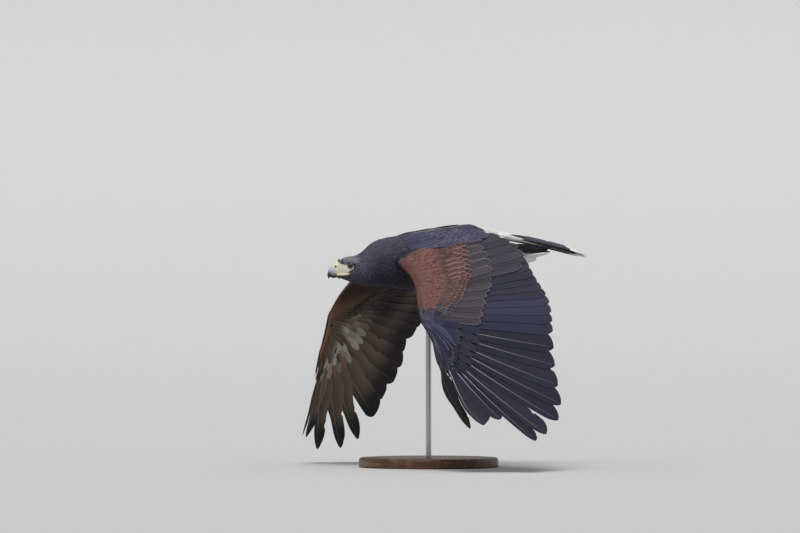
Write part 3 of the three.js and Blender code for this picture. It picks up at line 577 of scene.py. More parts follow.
# The slate tones are the plumage's own dark colour with the blue of a sky reflection painted into them.
SLATE_SKY_SHEEN, SLATE_SKY_SHEEN_PALE = tone(0.022, 0.028, 0.066), tone(0.082, 0.090, 0.155)
UMBER, UMBER_PALE = tone(0.034, 0.028, 0.034), tone(0.125, 0.104, 0.122)
RUFOUS, RUFOUS_PALE = tone(0.115, 0.051, 0.042), tone(0.250, 0.128, 0.115)
BUFF, RUSTY_BUFF = tone(0.34, 0.30, 0.30), tone(0.34, 0.21, 0.15)
WHITE, INK, QUILL = tone(0.80, 0.79, 0.78), tone(0.006, 0.006, 0.008), tone(0.40, 0.40, 0.43)
UNDER_BROWN, UNDER_PALE = tone(0.050, 0.037, 0.027), tone(0.225, 0.170, 0.128)
# The second tone on the next line is painted shadow, for the undersides of feathers near the body.
PALE_GREY, PAINTED_UNDER_SHADOW = tone(0.50, 0.46, 0.40), tone(0.009, 0.008, 0.007)
UNDER_TIP, UNDER_RUST = tone(0.016, 0.013, 0.012), tone(0.220, 0.125, 0.075)
MANTLE_EDGE = ([-110, -66, -28, 10, 36], [23, 24, 19.5, 5, -19])


def wing_rufous(points):
    """The share of rufous on top of a wing: all of its arm, from the mantle's edge nearly to the wrist."""
    ahead, height = SHOULDERS[1] - points[:, 1], points[:, 2] - SHOULDERS[2]
    mantle = through(*MANTLE_EDGE, ahead)
    return smoothstep(-97, -88, height) * smoothstep(mantle + 3, mantle - 3, height)


def bare_face(points):
    """How bare each place of the head is: the lores from the cere to the eye, and round the lids."""
    near = to_head(points)
    ahead, aside, up = near[:, 0], np.abs(near[:, 1]), near[:, 2]
    from_eye = np.hypot(ahead - EYE[0] - 2.5, up - EYE[2] + 1.5)
    lids = smoothstep(6.4, 5.8, from_eye) * (aside > 8)
    high = through([8, 13, 19, 25, 30], [3.5, 6.8, 7.6, 9.5, 14.0], ahead) + 0.7 * np.sin(ahead * 2.3)
    low = through([8, 12, 17, 23, 30], [-1.5, -5.5, -8.2, -9.3, -9.6], ahead) + 0.6 * np.sin(ahead * 1.9 + 1)
    lore = smoothstep(high + 0.5, high - 0.5, up) * smoothstep(low - 0.5, low + 0.5, up)
    lore = lore * smoothstep(7.0, 9.0, ahead)
    return np.maximum.reduce([lids, lore, smoothstep(28.2, 28.8, ahead)])


def body_marks(points):
    """Traits of the body's plumage: its white rump and vent, its brightness with painted shade, and how brown
    it is.
    """
    ahead, high = SHOULDERS[1] - points[:, 1], points[:, 2] - SHOULDERS[2]
    # Painted shade: the plumage is darker the lower it lies, over a shorter height on the head.
    face = smoothstep(60, 90, ahead)
    top = smoothstep(-50, 40, high) * (1 - face) + smoothstep(-62, -10, high) * face
    return dict(rufous=0 * ahead, white=smoothstep(-174, -184, ahead), pale=0 * ahead, spot=0.3 + 0 * ahead,
                dusk=0.25 + 0.35 * smoothstep(40, -60, ahead), shade=0.38 + 0.62 * top ** 1.2,
                # Pale streaks with a painted highlight on the top of the head.
                frost=smoothstep(88, 98, ahead) * smoothstep(-14, -2, high))


def keep_trait(made, name, values):
    """Stores one number for each point of a mesh."""
    made.data.attributes.new(name, "FLOAT", "POINT").data.foreach_set("value", np.asarray(values, np.float32))


def points_of(made):
    flat = np.empty(len(made.data.vertices) * 3)
    made.data.vertices.foreach_get("co", flat)
    return flat.reshape(-1, 3) / MM


skin_paint = Paint("skin_under_feathers", roughness=0.6, Specular_IOR_Level=0.2)
down = skin_paint.noise(skin_paint.here(), 420.0, 3.0)
fuzz = skin_paint.noise(skin_paint.here(), 1500.0, 3.0)
rufous, white, shade, bare = (skin_paint.trait(key) for key in ("rufous", "white", "shade", "bare"))
ground = rufous.mixed((down * 0.9).mixed(UMBER, SLATE_SKY_SHEEN), (down * 0.9).mixed(RUFOUS, UNDER_RUST))
# Painted shade: the skin darkens low on the body, as its feathers do.
ground = white.mixed(shade.mixed(INK, ground), WHITE)
lore = (down * 0.8).mixed(tone(0.56, 0.54, 0.42), tone(0.72, 0.71, 0.62))
skin_paint.colour(bare.mixed(ground, lore))
skin_paint.rough(0.45 + fuzz * 0.3)
skin_paint.bump(down * 0.6 + fuzz, 0.0005, 0.6)
places = points_of(skin)
marks = body_marks(places)
out, ahead, high = np.abs(places[:, 0]), SHOULDERS[1] - places[:, 1], places[:, 2] - SHOULDERS[2]
thigh = smoothstep(-50, -58, high) * smoothstep(-70, -80, ahead) * (out < 46)
keep_trait(skin, "rufous", np.maximum(smoothstep(48, 58, out) * wing_rufous(places), thigh))
keep_trait(skin, "bare", bare_face(places))
# shade carries the body's painted shade onto the skin.
for key in ("white", "shade"):
    keep_trait(skin, key, marks[key])
skin.data.materials.clear()
skin.data.materials.append(skin_paint.material)
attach(skin, "root")
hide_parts("head", "neck", "torso", "wing_left", "wing_right", "thigh_left", "thigh_right")

# Flight feathers
# Each is a thin vane on both sides of a horn shaft, tilted across the wing so that it lies over its outer
# neighbour and under its inner one. The outermost ones are cut in towards their tips, which stand apart.
OUTLINES = {
    "blade": ([0, 0.12, 0.32, 0.6, 0.84, 1], [0.1, 0.13, 0.9, 1, 1, 0.93], 0.09),
    "round": ([0, 0.12, 0.32, 0.6, 0.84, 1], [0.1, 0.15, 0.93, 1, 1, 0.96], 0.085),
    "finger": ([0, 0.12, 0.3, 0.46, 0.64, 0.84, 1], [0.1, 0.13, 0.88, 0.98, 0.6, 0.5, 0.3], 0.14),
    "covert": ([0, 0.3, 0.6, 1], [0.3, 0.85, 1, 0.98], 0.24),
    "blunt": ([0, 0.3, 0.6, 1], [0.3, 0.85, 1, 1.0], 0.11),
    "scale": ([0, 0.3, 0.6, 1], [0.4, 0.92, 1, 0.97], 0.17),
    "tertial": ([0, 0.3, 0.6, 1], [0.4, 0.9, 1, 1.0], 0.13),
    "rectrix": ([0, 0.25, 0.6, 0.88, 1], [0.45, 0.9, 1, 0.92, 0.75], 0.09),
}
VANE_COLUMNS = np.array([-1, -0.93, -0.62, -0.3, 0, 0.22, 0.45, 0.7, 0.955, 1])
VANE_THICKNESS = 0.45
CELLS = 220  # strips for the feathers of one mesh, side by side in the map that their colours are baked to
BENDS_AT = (0, 0.25, 0.5, 0.75, 1)
SHAFT_SIDES = 6
luck = np.random.default_rng(7)


def outline_width(kind, share):
    """The width of a kind of feather along its length, as a share of its greatest width."""
    keys, values, tip = OUTLINES[kind]
    rounding = np.sqrt(np.clip(1 - (np.clip((share - (1 - tip)) / tip, 0, 1)) ** 2, 0.0, 1))
    return through(keys, values, share) * np.maximum(rounding, 0.03)


def plate_faces(rows, columns):
    """Faces of a closed plate between two grids of points, its top first, and whether each is smooth."""
    half = rows * columns
    top, under, rim = [], [], []
    for r in range(rows - 1):
        for c in range(columns - 1):
            a = r * columns + c
            top.append((a, a + columns, a + columns + 1, a + 1))
            under.append((half + a, half + a + 1, half + a + columns + 1, half + a + columns))
        a, b = r * columns, r * columns + columns - 1
        rim.append((a, half + a, half + a + columns, a + columns))
        rim.append((b, b + columns, half + b + columns, half + b))
    end = half - columns
    for c in range(columns - 1):
        rim.append((c, c + 1, half + c + 1, half + c))
        rim.append((end + c, half + end + c, half + end + c + 1, end + c + 1))
    return top + under + rim, [True] * (2 * len(top)) + [False] * len(rim)


class Plumes:
    """Feathers gathered into one mesh, with what each point of them needs for its colour."""

    def __init__(self):
        self.points, self.faces, self.smooth, self.count, self.traits = [], [], [], 0, {}

    def take(self, points, faces, smooth, **traits):
        """Adds a shape, with one value for each trait, or one for each point, or a function of the length."""
        self.faces += [tuple(i + self.count for i in face) for face in faces]
        self.smooth += smooth
        self.points.append(points)
        for key, value in traits.items():
            held = self.traits.setdefault(key, [])
            value = value(traits["run"]) if callable(value) else value
            held.append(np.broadcast_to(np.asarray(value, float), (len(points),)).copy())
        self.count += len(points)

    def mesh(self, name, material):
        mesh = bpy.data.meshes.new(name)
        mesh.from_pydata((np.concatenate(self.points) * MM).tolist(), [], self.faces)
        mesh.polygons.foreach_set("use_smooth", self.smooth)
        for key, held in self.traits.items():
            layer = mesh.attributes.new(key, "FLOAT", "POINT")
            layer.data.foreach_set("value", np.concatenate(held).astype(np.float32))
        corners = np.empty(len(mesh.loops), int)
        mesh.loops.foreach_get("vertex_index", corners)
        places = np.stack([np.concatenate(self.traits[key])[corners] for key in ("bake_u", "bake_v")], 1)
        mesh.uv_layers.new(name="OFBake").data.foreach_set("uv", places.ravel().astype(np.float32))
        for key in ("bake_u", "bake_v"):
            mesh.attributes.remove(mesh.attributes[key])
        made = bpy.data.objects.new(name, mesh)
        bpy.context.scene.collection.objects.link(made)
        mesh.materials.append(material)
        return made


def vane(plumes, sheet, position, start, length, width, cell, kind, leading=0.3, lift=0.0, ramp=0.35,
         over=1.0, limits=(-99, 99), rows=30, bow=0.0, fore=None, shaft=1.2, drift=0.0, **traits):
    """Adds one feather to a mesh: its vane over the sheet, and its shaft.

    leading is the share of the width ahead of the shaft. lift raises the feather off the sheet, over a share
    ramp of its length, and over tilts it across its neighbours. bow, fore and drift bend it, and limits keep
    it in its row."""
    share = 1 - (1 - np.linspace(0, 1, rows)) ** 1.5
    columns = VANE_COLUMNS if rows > 16 else VANE_COLUMNS[[0, 1, 3, 4, 6, 8, 9]]
    wide = outline_width(kind, share) * width
    chance = luck.random(6)
    lateral = np.where(columns < 0, columns * leading, columns * (1 - leading))[None, :] * wide[:, None]
    notched = np.ones(lateral.shape)
    if rows > 20:
        for spot in chance[:2]:
            notched[int(rows * (0.45 + 0.45 * spot)), -2:] = 0.82 + 0.1 * spot
    lateral = lateral * notched
    bend = -bow * 4 * share * (1 - share)
    distance = start + length * share
    tips = smoothstep(0.88, 1, share)[:, None] * np.abs(columns)[None, :] ** 2 * wide[:, None] * 0.06
    top, under = [], []
    for r in range(rows):
        here = position + drift * share[r]
        there = np.clip(sheet.across(here, distance[r], lateral[r] + bend[r]), *limits)
        rise = lift * min(1, 0.25 + share[r] / ramp) + over * (here - there) + 0.25 * (chance[2] - 0.5)
        up = sheet.up(there)
        point = sheet.point(there, distance[r] - tips[r]) + up * rise[:, None]
        if fore:
            point[:, 1] -= through(BENDS_AT, fore, share[r])
        top.append(point)
        under.append(point - up * VANE_THICKNESS * (1 - 0.5 * share[r]))
    top, under = np.array(top), np.array(under)
    flat = np.concatenate([top.reshape(-1, 3), under.reshape(-1, 3)])
    faces, smooth = plate_faces(rows, len(columns))
    middle = top[rows // 2]
    normal = np.cross(top[rows // 2 + 1, 0] - middle[0], middle[-1] - middle[0])
    if normal @ sheet.up([position])[0] < 0:
        faces = [face[::-1] for face in faces]
    side = np.tile(columns[None, :] * np.ones((rows, 1)), (2, 1, 1)).ravel()
    run = np.tile(np.repeat(share, len(columns)), 2)
    half = np.tile(np.repeat(wide * 0.5, len(columns)), 2)
    rim = np.minimum(np.abs(np.abs(side) - 1) * half, (1 - run) * length)
    below = np.repeat([0.0, 1.0], rows * len(columns))
    first, last = cell
    bake_u = first + (last - first) * (0.06 + 0.88 * (side + 1) / 2)
    traits["chance"] = chance[3]
    plumes.take(flat, faces, smooth, run=run, side=side, rim=rim, below=below, reach=run * length, shaft=0,
                bake_u=bake_u, bake_v=0.01 + 0.47 * run + below * 0.5, **traits)
    quill = 4 if rows > 16 else 3
    add_shaft(plumes, top[:, quill], under[:, quill], share, shaft, length, cell, traits)


def add_shaft(plumes, top, under, share, radius, length, cell, traits):
    """The horn shaft of a feather, from its root to just short of the tip, standing proud of both faces."""
    kept = share < 0.985
    middle, up = (top[kept] + under[kept]) / 2, unit(top[kept] - under[kept])
    ahead = unit(np.gradient(middle, axis=0))
    across = np.cross(ahead, up)
    thick = radius * (1 - 0.82 * share[kept])
    angle = np.arange(SHAFT_SIDES) / SHAFT_SIDES * 2 * np.pi
    ring = np.cos(angle)[None, :, None] * across[:, None, :] * 0.8
    ring = ring + np.sin(angle)[None, :, None] * up[:, None, :]
    grid = middle[:, None, :] + ring * thick[:, None, None]
    points, faces = closed_grid(grid)
    run = np.repeat(share[kept], SHAFT_SIDES)
    below = np.tile((np.sin(angle) < -0.1).astype(float), kept.sum())
    plumes.take(points, faces, [True] * (len(faces) - 2) + [False] * 2, run=run, side=0, rim=8, below=below,
                reach=run * length, shaft=1, bake_u=cell[0] + (cell[1] - cell[0]) * 0.55,
                bake_v=0.01 + 0.47 * run + below * 0.5, **traits)


def feather_paint(name, fringe, small=False, dark_tips=0.0):
    """The finish of feathers: fine slanting barbs, a thin pale fringe, a dark middle and a brown underside.

    Each feather carries shares of rufous, white, brown instead of slate with its painted blue sky reflection
    (dusk), brightness, which on the body also holds painted shade that darkens it low down (shade), dark
    middle (spot), pale underside (pale) and painted shadow on undersides near the body (gloom), and a small
    one of pale grey streaks with a painted highlight on the crown (frost).
    A small one has no shaft, and finds its edge from its size."""
    paint = Paint(name, roughness=0.55, Specular_IOR_Level=0.10)
    run, side, below, chance, rufous, white, dusk, shade, spot, pale = (paint.trait(key) for key in (
        "run", "side", "below", "chance", "rufous", "white", "dusk", "shade", "spot", "pale"))
    beside = side.call("ABSOLUTE")
    if small:
        below = below.call("MAXIMUM", paint.trait("underwing"))
        wide, long = paint.trait("wide"), paint.trait("long")
        rim = ((1.0 - beside) * wide * 0.45).call("MINIMUM", (1.0 - run) * long)
        reach = run * long
    else:
        rim, reach = paint.trait("rim"), paint.trait("reach")
    slant = reach - beside * (3.0 if small else 14.0)
    barbs = paint.noise(paint.vector(slant * 1.6, side * 1.5, chance * 40.0), 1.0, 2.0)
    cloud = paint.noise(paint.vector(reach * 0.03, side * 0.8, chance * 30.0), 1.0, 3.0)
    streaks = paint.noise(paint.vector(reach * 0.02, side * 7.0, chance * 50.0), 1.0, 2.0)
    light = barbs * 0.35 + cloud * 0.35 + streaks * 0.5 + chance * 0.35 - 0.3
    sheened_slate = light.mixed(SLATE_SKY_SHEEN, SLATE_SKY_SHEEN_PALE)
    umber = light.mixed(UMBER, UMBER_PALE)
    red = light.mixed(RUFOUS, RUFOUS_PALE)
    # The inner web is a little browner, so the outer web keeps more of the painted blue sky reflection.
    inner = side.step(-0.1, 0.15) * 0.25
    top = rufous.mixed((dusk + inner).mixed(sheened_slate, umber), red)
    if small:
        # The crown gets pale grey streaks, with a painted highlight where its top catches the light.
        top = (paint.trait("frost") * (streaks * 1.8 - 0.5)).mixed(top, QUILL)
    top = (rim.step(1.7, 3.3) * spot * 0.9).mixed(top, UMBER)
    near, far = (0.3, 0.9) if small else (0.75, 1.7)
    edge = (1.0 - rim.step(near, far)) * (0.25 + chance * 0.4 + dusk * 0.5) * fringe * run.step(0.3, 0.7)
    top = edge.mixed(top, rufous.mixed(BUFF, RUSTY_BUFF))
    # shade darkens the top: the feather's own tone, and on the body also painted shade low down.
    top = shade.mixed(INK, top)
    under = (light * 0.5 + side.step(-0.2, 1.0) * 0.5).mixed(UNDER_BROWN, UNDER_PALE)
    under = ((1.0 - rim.step(0.3, 1.2)) * 0.35).mixed(under, UNDER_PALE)
    under = (pale * (streaks * 0.9 + 0.5)).mixed(under, PALE_GREY)
    if dark_tips:
        under = (run.step(0.62, 0.86) * dark_tips).mixed(under, UNDER_TIP)
    under = rufous.mixed(under, UNDER_RUST)
    # Painted shadow: undersides near the body darken to near black.
    under = paint.trait("gloom").mixed(under, PAINTED_UNDER_SHADOW)
    base = below.mixed(top, under)
    base = (white + barbs * 0.3 - 0.15).step(0.35, 0.65).mixed(base, WHITE)
    if not small:
        base = (paint.trait("shaft") * paint.trait("quill") * (1.0 - run * 0.6)).mixed(base, QUILL)
    paint.colour(base)
    paint.rough(0.5 + barbs * 0.2)
    paint.bump((slant * (2.4 if small else 1.9)).call("SINE") * 0.3 + barbs + streaks * 0.6, 0.0006, 0.45)
    return paint.material


flight_paint = feather_paint("flight_feather_vanes", fringe=0.55, dark_tips=0.9)
ARM_WIDTH = 37
ROOTED_DEEPER, LONGER = 14, 8  # the outermost one's root, under the coverts, and its tip
for name, wing in WINGS.items():
    sheet, plumes = wing["sheet"], Plumes()
    count = PRIMARIES + ARM_FEATHERS
    for i in range(count):
        primary, outermost, inner = i < PRIMARIES, i == 0, smoothstep(6.5, 11, i)
        kind = "finger" if i < wing["fingers"] else "blade" if primary else "round"
        vane(plumes, sheet, i, -ROOTED_DEEPER * outermost, wing["lengths"][i] + LONGER * outermost,
             PRIMARY_WIDTHS[i] if primary else ARM_WIDTH, (i / count, (i + 1) / count), kind, rows=34,
             leading=wing["leading"].get(i, 0.3), fore=wing["fore"].get(i), shaft=1.5 if primary else 1.1,
             bow=5 if kind == "finger" else 2 if primary else 0, rufous=0, white=0, spot=0, pale=0,
             quill=1 if primary and not outermost else 0.12,
             # The outermost primary is painted nearly black: painted shade on that feather.
             shade=0.06 if outermost else 0.34 if primary else 0.56,
             # The undersides of the inner feathers carry a painted shadow of the body, lighter towards their
             # tips.
             gloom=lambda run: 0.9 * inner * (1 - 0.7 * smoothstep(0.45, 0.85, run)),
             dusk=0.05 if primary else smoothstep(12, 22, i) * 0.45 + 0.05)
    flight = plumes.mesh(f"flight_feathers_{name}", flight_paint)
    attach(flight, "root")
    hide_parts(f"wing_{name}")

# Coverts and scapulars of the wings
# Short broad feathers in tiers over and under the quills, each tier over the next longer one, the alula on
# the thumb, and the scapulars, which lie along the back over the joint of the wing. Tips are distances from
# the quills' roots, at positions in their row.
covert_paint = feather_paint("covert_vanes", fringe=0.9)
GREATER_PRIMARY_TIPS = (38, 47, 57, 70, 77, 82, 84, 90, 97, 101)
GREATER_TIPS = (99, 100, 99, 98, 98, 101, 102, 100, 100, 99, 100, 101, 98, 94)
MEDIAN = ([10, 11.3, 12.6, 13.9, 15.2, 16.5, 17.8, 19.1, 20.4, 21.7, 23],
          [32, 41, 46, 50, 53, 53, 54, 57, 61, 64, 66])
UNDER_GREATER = ([0.5, 2.5, 4.5, 6.5, 8.5, 10.5, 12.5, 14.5, 16.5, 18.5, 20.5, 22.5],
                 [48, 68, 84, 94, 98, 98, 95, 92, 90, 87, 82, 74])
TERTIAL_TIPS = ([18.1, 19, 19.95, 21.1, 22.15, 23.1], [160, 164, 170, 168, 157, 139])
# Scapulars lie along the back from the shoulder: roots and far ends of their axes, outermost first
SCAPULAR_ROOTS = [(-22, 52, 12), (-21, 47, 15.5), (-20, 41, 18.5), (-18, 35, 25), (-16, 27, 33),
                  (-14, 18, 40)]
SCAPULAR_ENDS = [(-150, 52, 32), (-149, 46, 36.5), (-148, 39, 41), (-146, 31, 46), (-143, 22, 51),
                 (-140, 14, 54)]
SCAPULAR_ARCHES = [3, 3, 4, 4, 4, 4]
SCAPULAR_TIPS, SCAPULAR_TIERS = ([0, 1, 2, 3, 4], [128, 140, 147, 147, 140]), 9
ALULA = [((8.9, -4), (5.8, 46), 10, 22), ((8.6, -6), (4.9, 37), 9, 21), ((8.2, -8), (4.1, 28), 8, 20)]
# Long coverts along the hand's leading edge: the positions of their roots, and how far ahead of the
# outermost quill they end, at one distance along it
LEAD_ROOTS, LEAD_ENDS, LEAD_AT = (0.5, 2, 3.5, 5), (-15, -10, -5, 0), 85
LEAD_TIPS = ((0.0, (37, 43, 50, 55, 57)), (0.4, (26, 31, 37, 41, 41)))
UNDER_TIERS = ((30, 1.0, -3.6, 15, 13), (32, 0.72, -4.6, 12.5, 15), (34, 0.5, -5.4, 11, 17))
RUSTY_SHARE = 0.25  # of the coverts under the wing


def tier(plumes, sheet, positions, tips, start, cells, loose=1.0, **kinds):
    """A row of coverts. Their tips are a little uneven, as those of real ones are."""
    for k, (position, tip) in enumerate(zip(positions, tips)):
        uneven = luck.normal(0, 1.3 * loose)
        chosen = {key: value(position) if callable(value) else value for key, value in kinds.items()}
        chosen = {"kind": "covert", "rows": 14, **chosen}
        vane(plumes, sheet, position + luck.normal(0, 0.05 * loose), start, tip - start + uneven,
             cell=((cells + k) / CELLS, (cells + k + 1) / CELLS), **chosen)
    return cells + len(positions)


def filled(row, count):
    """More feathers than the listed ones, spread evenly along the same line."""
    positions, tips = row
    spread = np.linspace(positions[0], positions[-1], count)
    return spread, through(positions, tips, spread)


def pale_tip(position, inner):
    """How pale a covert under the wing is along its length: grey at its tip, beyond a place in the row."""
    strength = float(smoothstep(inner, inner - 4, position) * luck.uniform(-0.2, 1.1))
    return lambda run: max(strength, 0) * smoothstep(0.45, 0.8, run)


def leading_lie(wing):
    """The sheet of the coverts along the leading edge of a hand, which end beside the outermost quill."""
    sheet, hand = wing["sheet"], wing["hand_line"]
    roots, alongs = [], []
    for position, aside in zip(LEAD_ROOTS, LEAD_ENDS):
        chord = unit(np.cross(hand, sheet.up([position])[0]) * wing["side"])
        front = float(through([0, 2, 4, 6, 8], wing["hand_front"], position)[0]) - 3
        root = sheet.point(np.array([position]), 0)[0] + chord * front
        end = sheet.point(sheet.across(0, LEAD_AT, np.array([aside])), LEAD_AT)[0]
        roots.append(root)
        alongs.append(end - root)
    return Sheet(roots, alongs, [0] * len(roots), wing["side"])


SLATY = dict(rufous=0, white=0, spot=0, pale=0, quill=0.1, gloom=0)
for name, wing in WINGS.items():
    side, sheet, plumes = wing["side"], wing["sheet"], Plumes()
    hand, arm = np.arange(PRIMARIES), PRIMARIES + np.arange(ARM_FEATHERS)
    cells = tier(plumes, sheet, *TERTIAL_TIPS, 45, 0, rows=24, kind="tertial", width=31, lift=2.2, shaft=0.8,
                 dusk=0.55, shade=0.7, **SLATY)
    cells = tier(plumes, sheet, hand, GREATER_PRIMARY_TIPS, -4, cells, width=19, lift=2.9, shaft=0.5,
                 dusk=-0.4, shade=0.42, **SLATY)
    median = filled((hand, np.array(GREATER_PRIMARY_TIPS) * 0.66), 13)
    cells = tier(plumes, sheet, *median, -3, cells, width=15, kind="scale", lift=7.6, ramp=0.2, shaft=0.4,
                 dusk=-0.4, shade=0.5, **SLATY)
    lead = leading_lie(wing)
    for first, tips in LEAD_TIPS:
        cells = tier(plumes, lead, first + np.arange(5) * 0.62, tips, -8, cells, width=13,
                     lift=2.6 + first * 3, shaft=0.4, dusk=-0.2, shade=0.6, **SLATY)
    cells = tier(plumes, sheet, arm, GREATER_TIPS, -4, cells, kind="blunt", width=22, lift=3.4, shaft=0.45,
                 dusk=0.8, shade=0.75, **SLATY)
    for k, back in enumerate((0, 11, 22)):
        places, tips = (row[1 + k:] for row in filled(MEDIAN, 24 - k % 2))
        cells = tier(plumes, sheet, places, tips - back, -12 - 4 * k, cells, width=13.5 - k,
                     lift=4.8 + 0.6 * k, kind="scale", ramp=0.9, over=0.5, shaft=0.4,
                     white=0, pale=0, quill=0, gloom=0,
                     rufous=lambda p: float(smoothstep(12.3, 14.3, p)), shade=0.95, spot=0.95 - 0.15 * k,
                     dusk=lambda p: float(0.1 + 0.5 * smoothstep(12.3, 14.3, p)))
    for count, share, lift, width, inner in UNDER_TIERS:
        row = UNDER_GREATER[0], np.array(UNDER_GREATER[1]) * share
        cells = tier(plumes, sheet, *filled(row, count), -8, cells, width=width, lift=lift, shaft=0.35,
                     white=0, spot=0, quill=0, rufous=lambda p: 0.5 * float(luck.random() < RUSTY_SHARE),
                     # The inner coverts under the wing carry a painted shadow of the body.
                     shade=1, dusk=0.1, gloom=lambda p: float(0.85 * smoothstep(8, 13, p)),
                     pale=lambda p: pale_tip(p, inner))
    for (first, low), (last, high), lift, width in ALULA:
        vane(plumes, sheet, first, low, high - low, width, (cells / CELLS, (cells + 1) / CELLS), "covert",
             rows=20, drift=last - first, lift=lift, over=0.3, shaft=0.7, dusk=0, shade=1, **SLATY)
        cells += 1
    roots = [place(f, side * out, up) for f, out, up in SCAPULAR_ROOTS]
    ends = [place(f, side * out, up) for f, out, up in SCAPULAR_ENDS]
    back = Sheet(roots, np.array(ends) - np.array(roots), SCAPULAR_ARCHES, side)
    for k in range(SCAPULAR_TIERS):
        places = np.linspace(0.15 + 0.3 * (k % 2) + 0.04 * k, 4.3, 7)
        tips = through(*SCAPULAR_TIPS, places) - 13 * k
        cells = tier(plumes, back, places, tips, max(62 - 11.5 * k, -18), cells, loose=2.0,
                     width=19.5 - 0.75 * k, kind="blunt", lift=1.4 + 0.33 * k, over=0.4, ramp=0.8, shaft=0.4,
                     dusk=0.12, shade=1, **SLATY)
    coverts = plumes.mesh(f"wing_coverts_{name}", covert_paint)
    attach(coverts, "root")

# Tail
# Twelve broad feathers in a narrow fan, twisted with its left edge down, under white coverts. Those of each
# half lie under their inner neighbours, with the middle pair on top.
RECTRICES, TAIL_LENGTH, RECTRIX_WIDTH = 12, 208, 34
SHORTER_OUTSIDE, SHORTER_EVERY_OTHER = 5, 4
TAIL_SPREAD, TAIL_SLOPE, TAIL_TWIST = math.radians(0.9), math.radians(11.3), math.radians(23)
TAIL_HALF_ROOT, TAIL_FRONT, TAIL_ARCH = 14, (-196, 0, 44), 4.7
TAIL_MIDDLE = (RECTRICES - 1) / 2
TAIL_CELLS = 30  # strips kept for the tail feathers themselves
VENT_ROWS = (-20, -15, -10, -5, 0, 5, 10, 15, 20)
VENT_SIDE_ROOTS = [(24, 30), (26, 20), (27, 10), (26, 0), (22, -9)]
VENT_SIDE_ENDS = [(22, 24), (25, 21), (27, 17.5), (27, 14), (25, 10.5)]
WHITE_TIP = (0.855, 0.875)
# Tiers of white coverts over and under the tail: positions, tips, start, lift and width
UPPER_TIERS = (
    (np.linspace(1, 10, 11), (66, 68, 66, 62, 55, 47, 40, 35, 32, 30, 28), -10, 4, 15),
    (np.linspace(1.4, 9.6, 9), (40, 42, 40, 36, 31, 26, 22, 18, 15), -24, 5, 15),
    (np.linspace(1.5, 9.5, 9), (12, 15, 16, 15, 14, 12, 10, 8, 5), -30, 6, 15))
VENT_TIERS = ((-0.2, 8.2, 15, 96, 122, 10, 1), (0, 8, 13, 68, 92, 0, -1), (0.2, 7.8, 11, 40, 60, -10, -3))
# Rows at the sides of the vent: first and last position, count, range of tips, start, share of white and
# width. The rows with no white are nearly black: painted shadow under the tail.
VENT_SIDE_TIERS = (
    (0.6, 3.9, 9, 104, 124, 0, 0, 12), (0.8, 3.9, 9, 66, 80, -4, 0, 12), (4.1, 4.9, 7, 62, 78, 8, 0, 9),
    (3.7, 4.3, 7, 92, 130, 64, 1, 5), (3.9, 4.3, 4, 82, 106, 58, 1, 5))
SNOWY = dict(over=0.3, shaft=0.3, rufous=0, spot=0, pale=0, quill=0)


def twisted(vector):
    """A direction of the tail, turned with it round its own length."""
    x, y, z = vector
    c, s = math.cos(TAIL_TWIST), math.sin(TAIL_TWIST)
    return np.array([x * c + z * s, y, -x * s + z * c])


def tail_sheet():
    """The sheet that the tail feathers span, from the left one to the right one."""
    roots, alongs = [], []
    for i in range(RECTRICES):
        share = (TAIL_MIDDLE - i) / TAIL_MIDDLE
        spread = TAIL_SPREAD * share
        along = twisted((math.sin(spread), math.cos(spread), 0)) - np.array([0, 0, math.tan(TAIL_SLOPE)])
        alongs.append(along)
        roots.append(place(*TAIL_FRONT) + twisted((TAIL_HALF_ROOT * share, 0, 0)))
    return Sheet(roots, alongs, [TAIL_ARCH] * RECTRICES, 1)


def tail_white(i):
    """The white of one tail feather along its length: its tip and its base, which is longer on outer ones."""
    base = 0.16 + 0.36 * (abs(i - TAIL_MIDDLE) / TAIL_MIDDLE) ** 2
    return lambda run: np.maximum(1 - smoothstep(base, base + 0.08, run), smoothstep(*WHITE_TIP, run))


tail_lie, tail_plumes = tail_sheet(), Plumes()
for i in range(RECTRICES):
    left, outwards = i < TAIL_MIDDLE, abs(i - TAIL_MIDDLE) / TAIL_MIDDLE
    over = 1 if left else -1
    reach = 0.6 if abs(i - TAIL_MIDDLE) < 1 else -0.1
    length = TAIL_LENGTH - SHORTER_OUTSIDE * outwards ** 1.5 - SHORTER_EVERY_OTHER * (i % 2)
    vane(tail_plumes, tail_lie, i, 0, length, RECTRIX_WIDTH, (i / CELLS, (i + 1) / CELLS), "rectrix",
         leading=0.3 if left else 0.7, over=over, lift=1.2 * over, shaft=1.2,
         limits=(-99, TAIL_MIDDLE + reach) if left else (TAIL_MIDDLE - reach, 99),
         rufous=0, white=tail_white(i), spot=0, pale=0, quill=0.4, shade=1, dusk=0.15)
cells = TAIL_CELLS
for positions, tips, start, lift, width in UPPER_TIERS:
    cells = tier(tail_plumes, tail_lie, positions, tips, start, cells, width=width, lift=lift, over=0.4,
                 shaft=0.4, rufous=0, white=1, dusk=0, spot=0, pale=0, quill=0, shade=1)
roots = [place(-188, out, -9 + 0.5 * abs(out)) for out in VENT_ROWS]
ends = [place(-300, out * 1.35, 18 - 0.25 * abs(out)) for out in VENT_ROWS]
vent_lie = Sheet(roots, [end - root for end, root in zip(ends, roots)], [2] * len(roots), 1)
drawn = [luck.uniform(short, long, count) for _, _, count, short, long, _, _ in VENT_TIERS]
for (first, last, count, _, _, start, lift), tips in zip(VENT_TIERS, drawn):
    cells = tier(tail_plumes, vent_lie, np.linspace(first, last, count), tips, start, cells, width=12,
                 lift=lift, white=1, dusk=0, shade=1, **SNOWY)
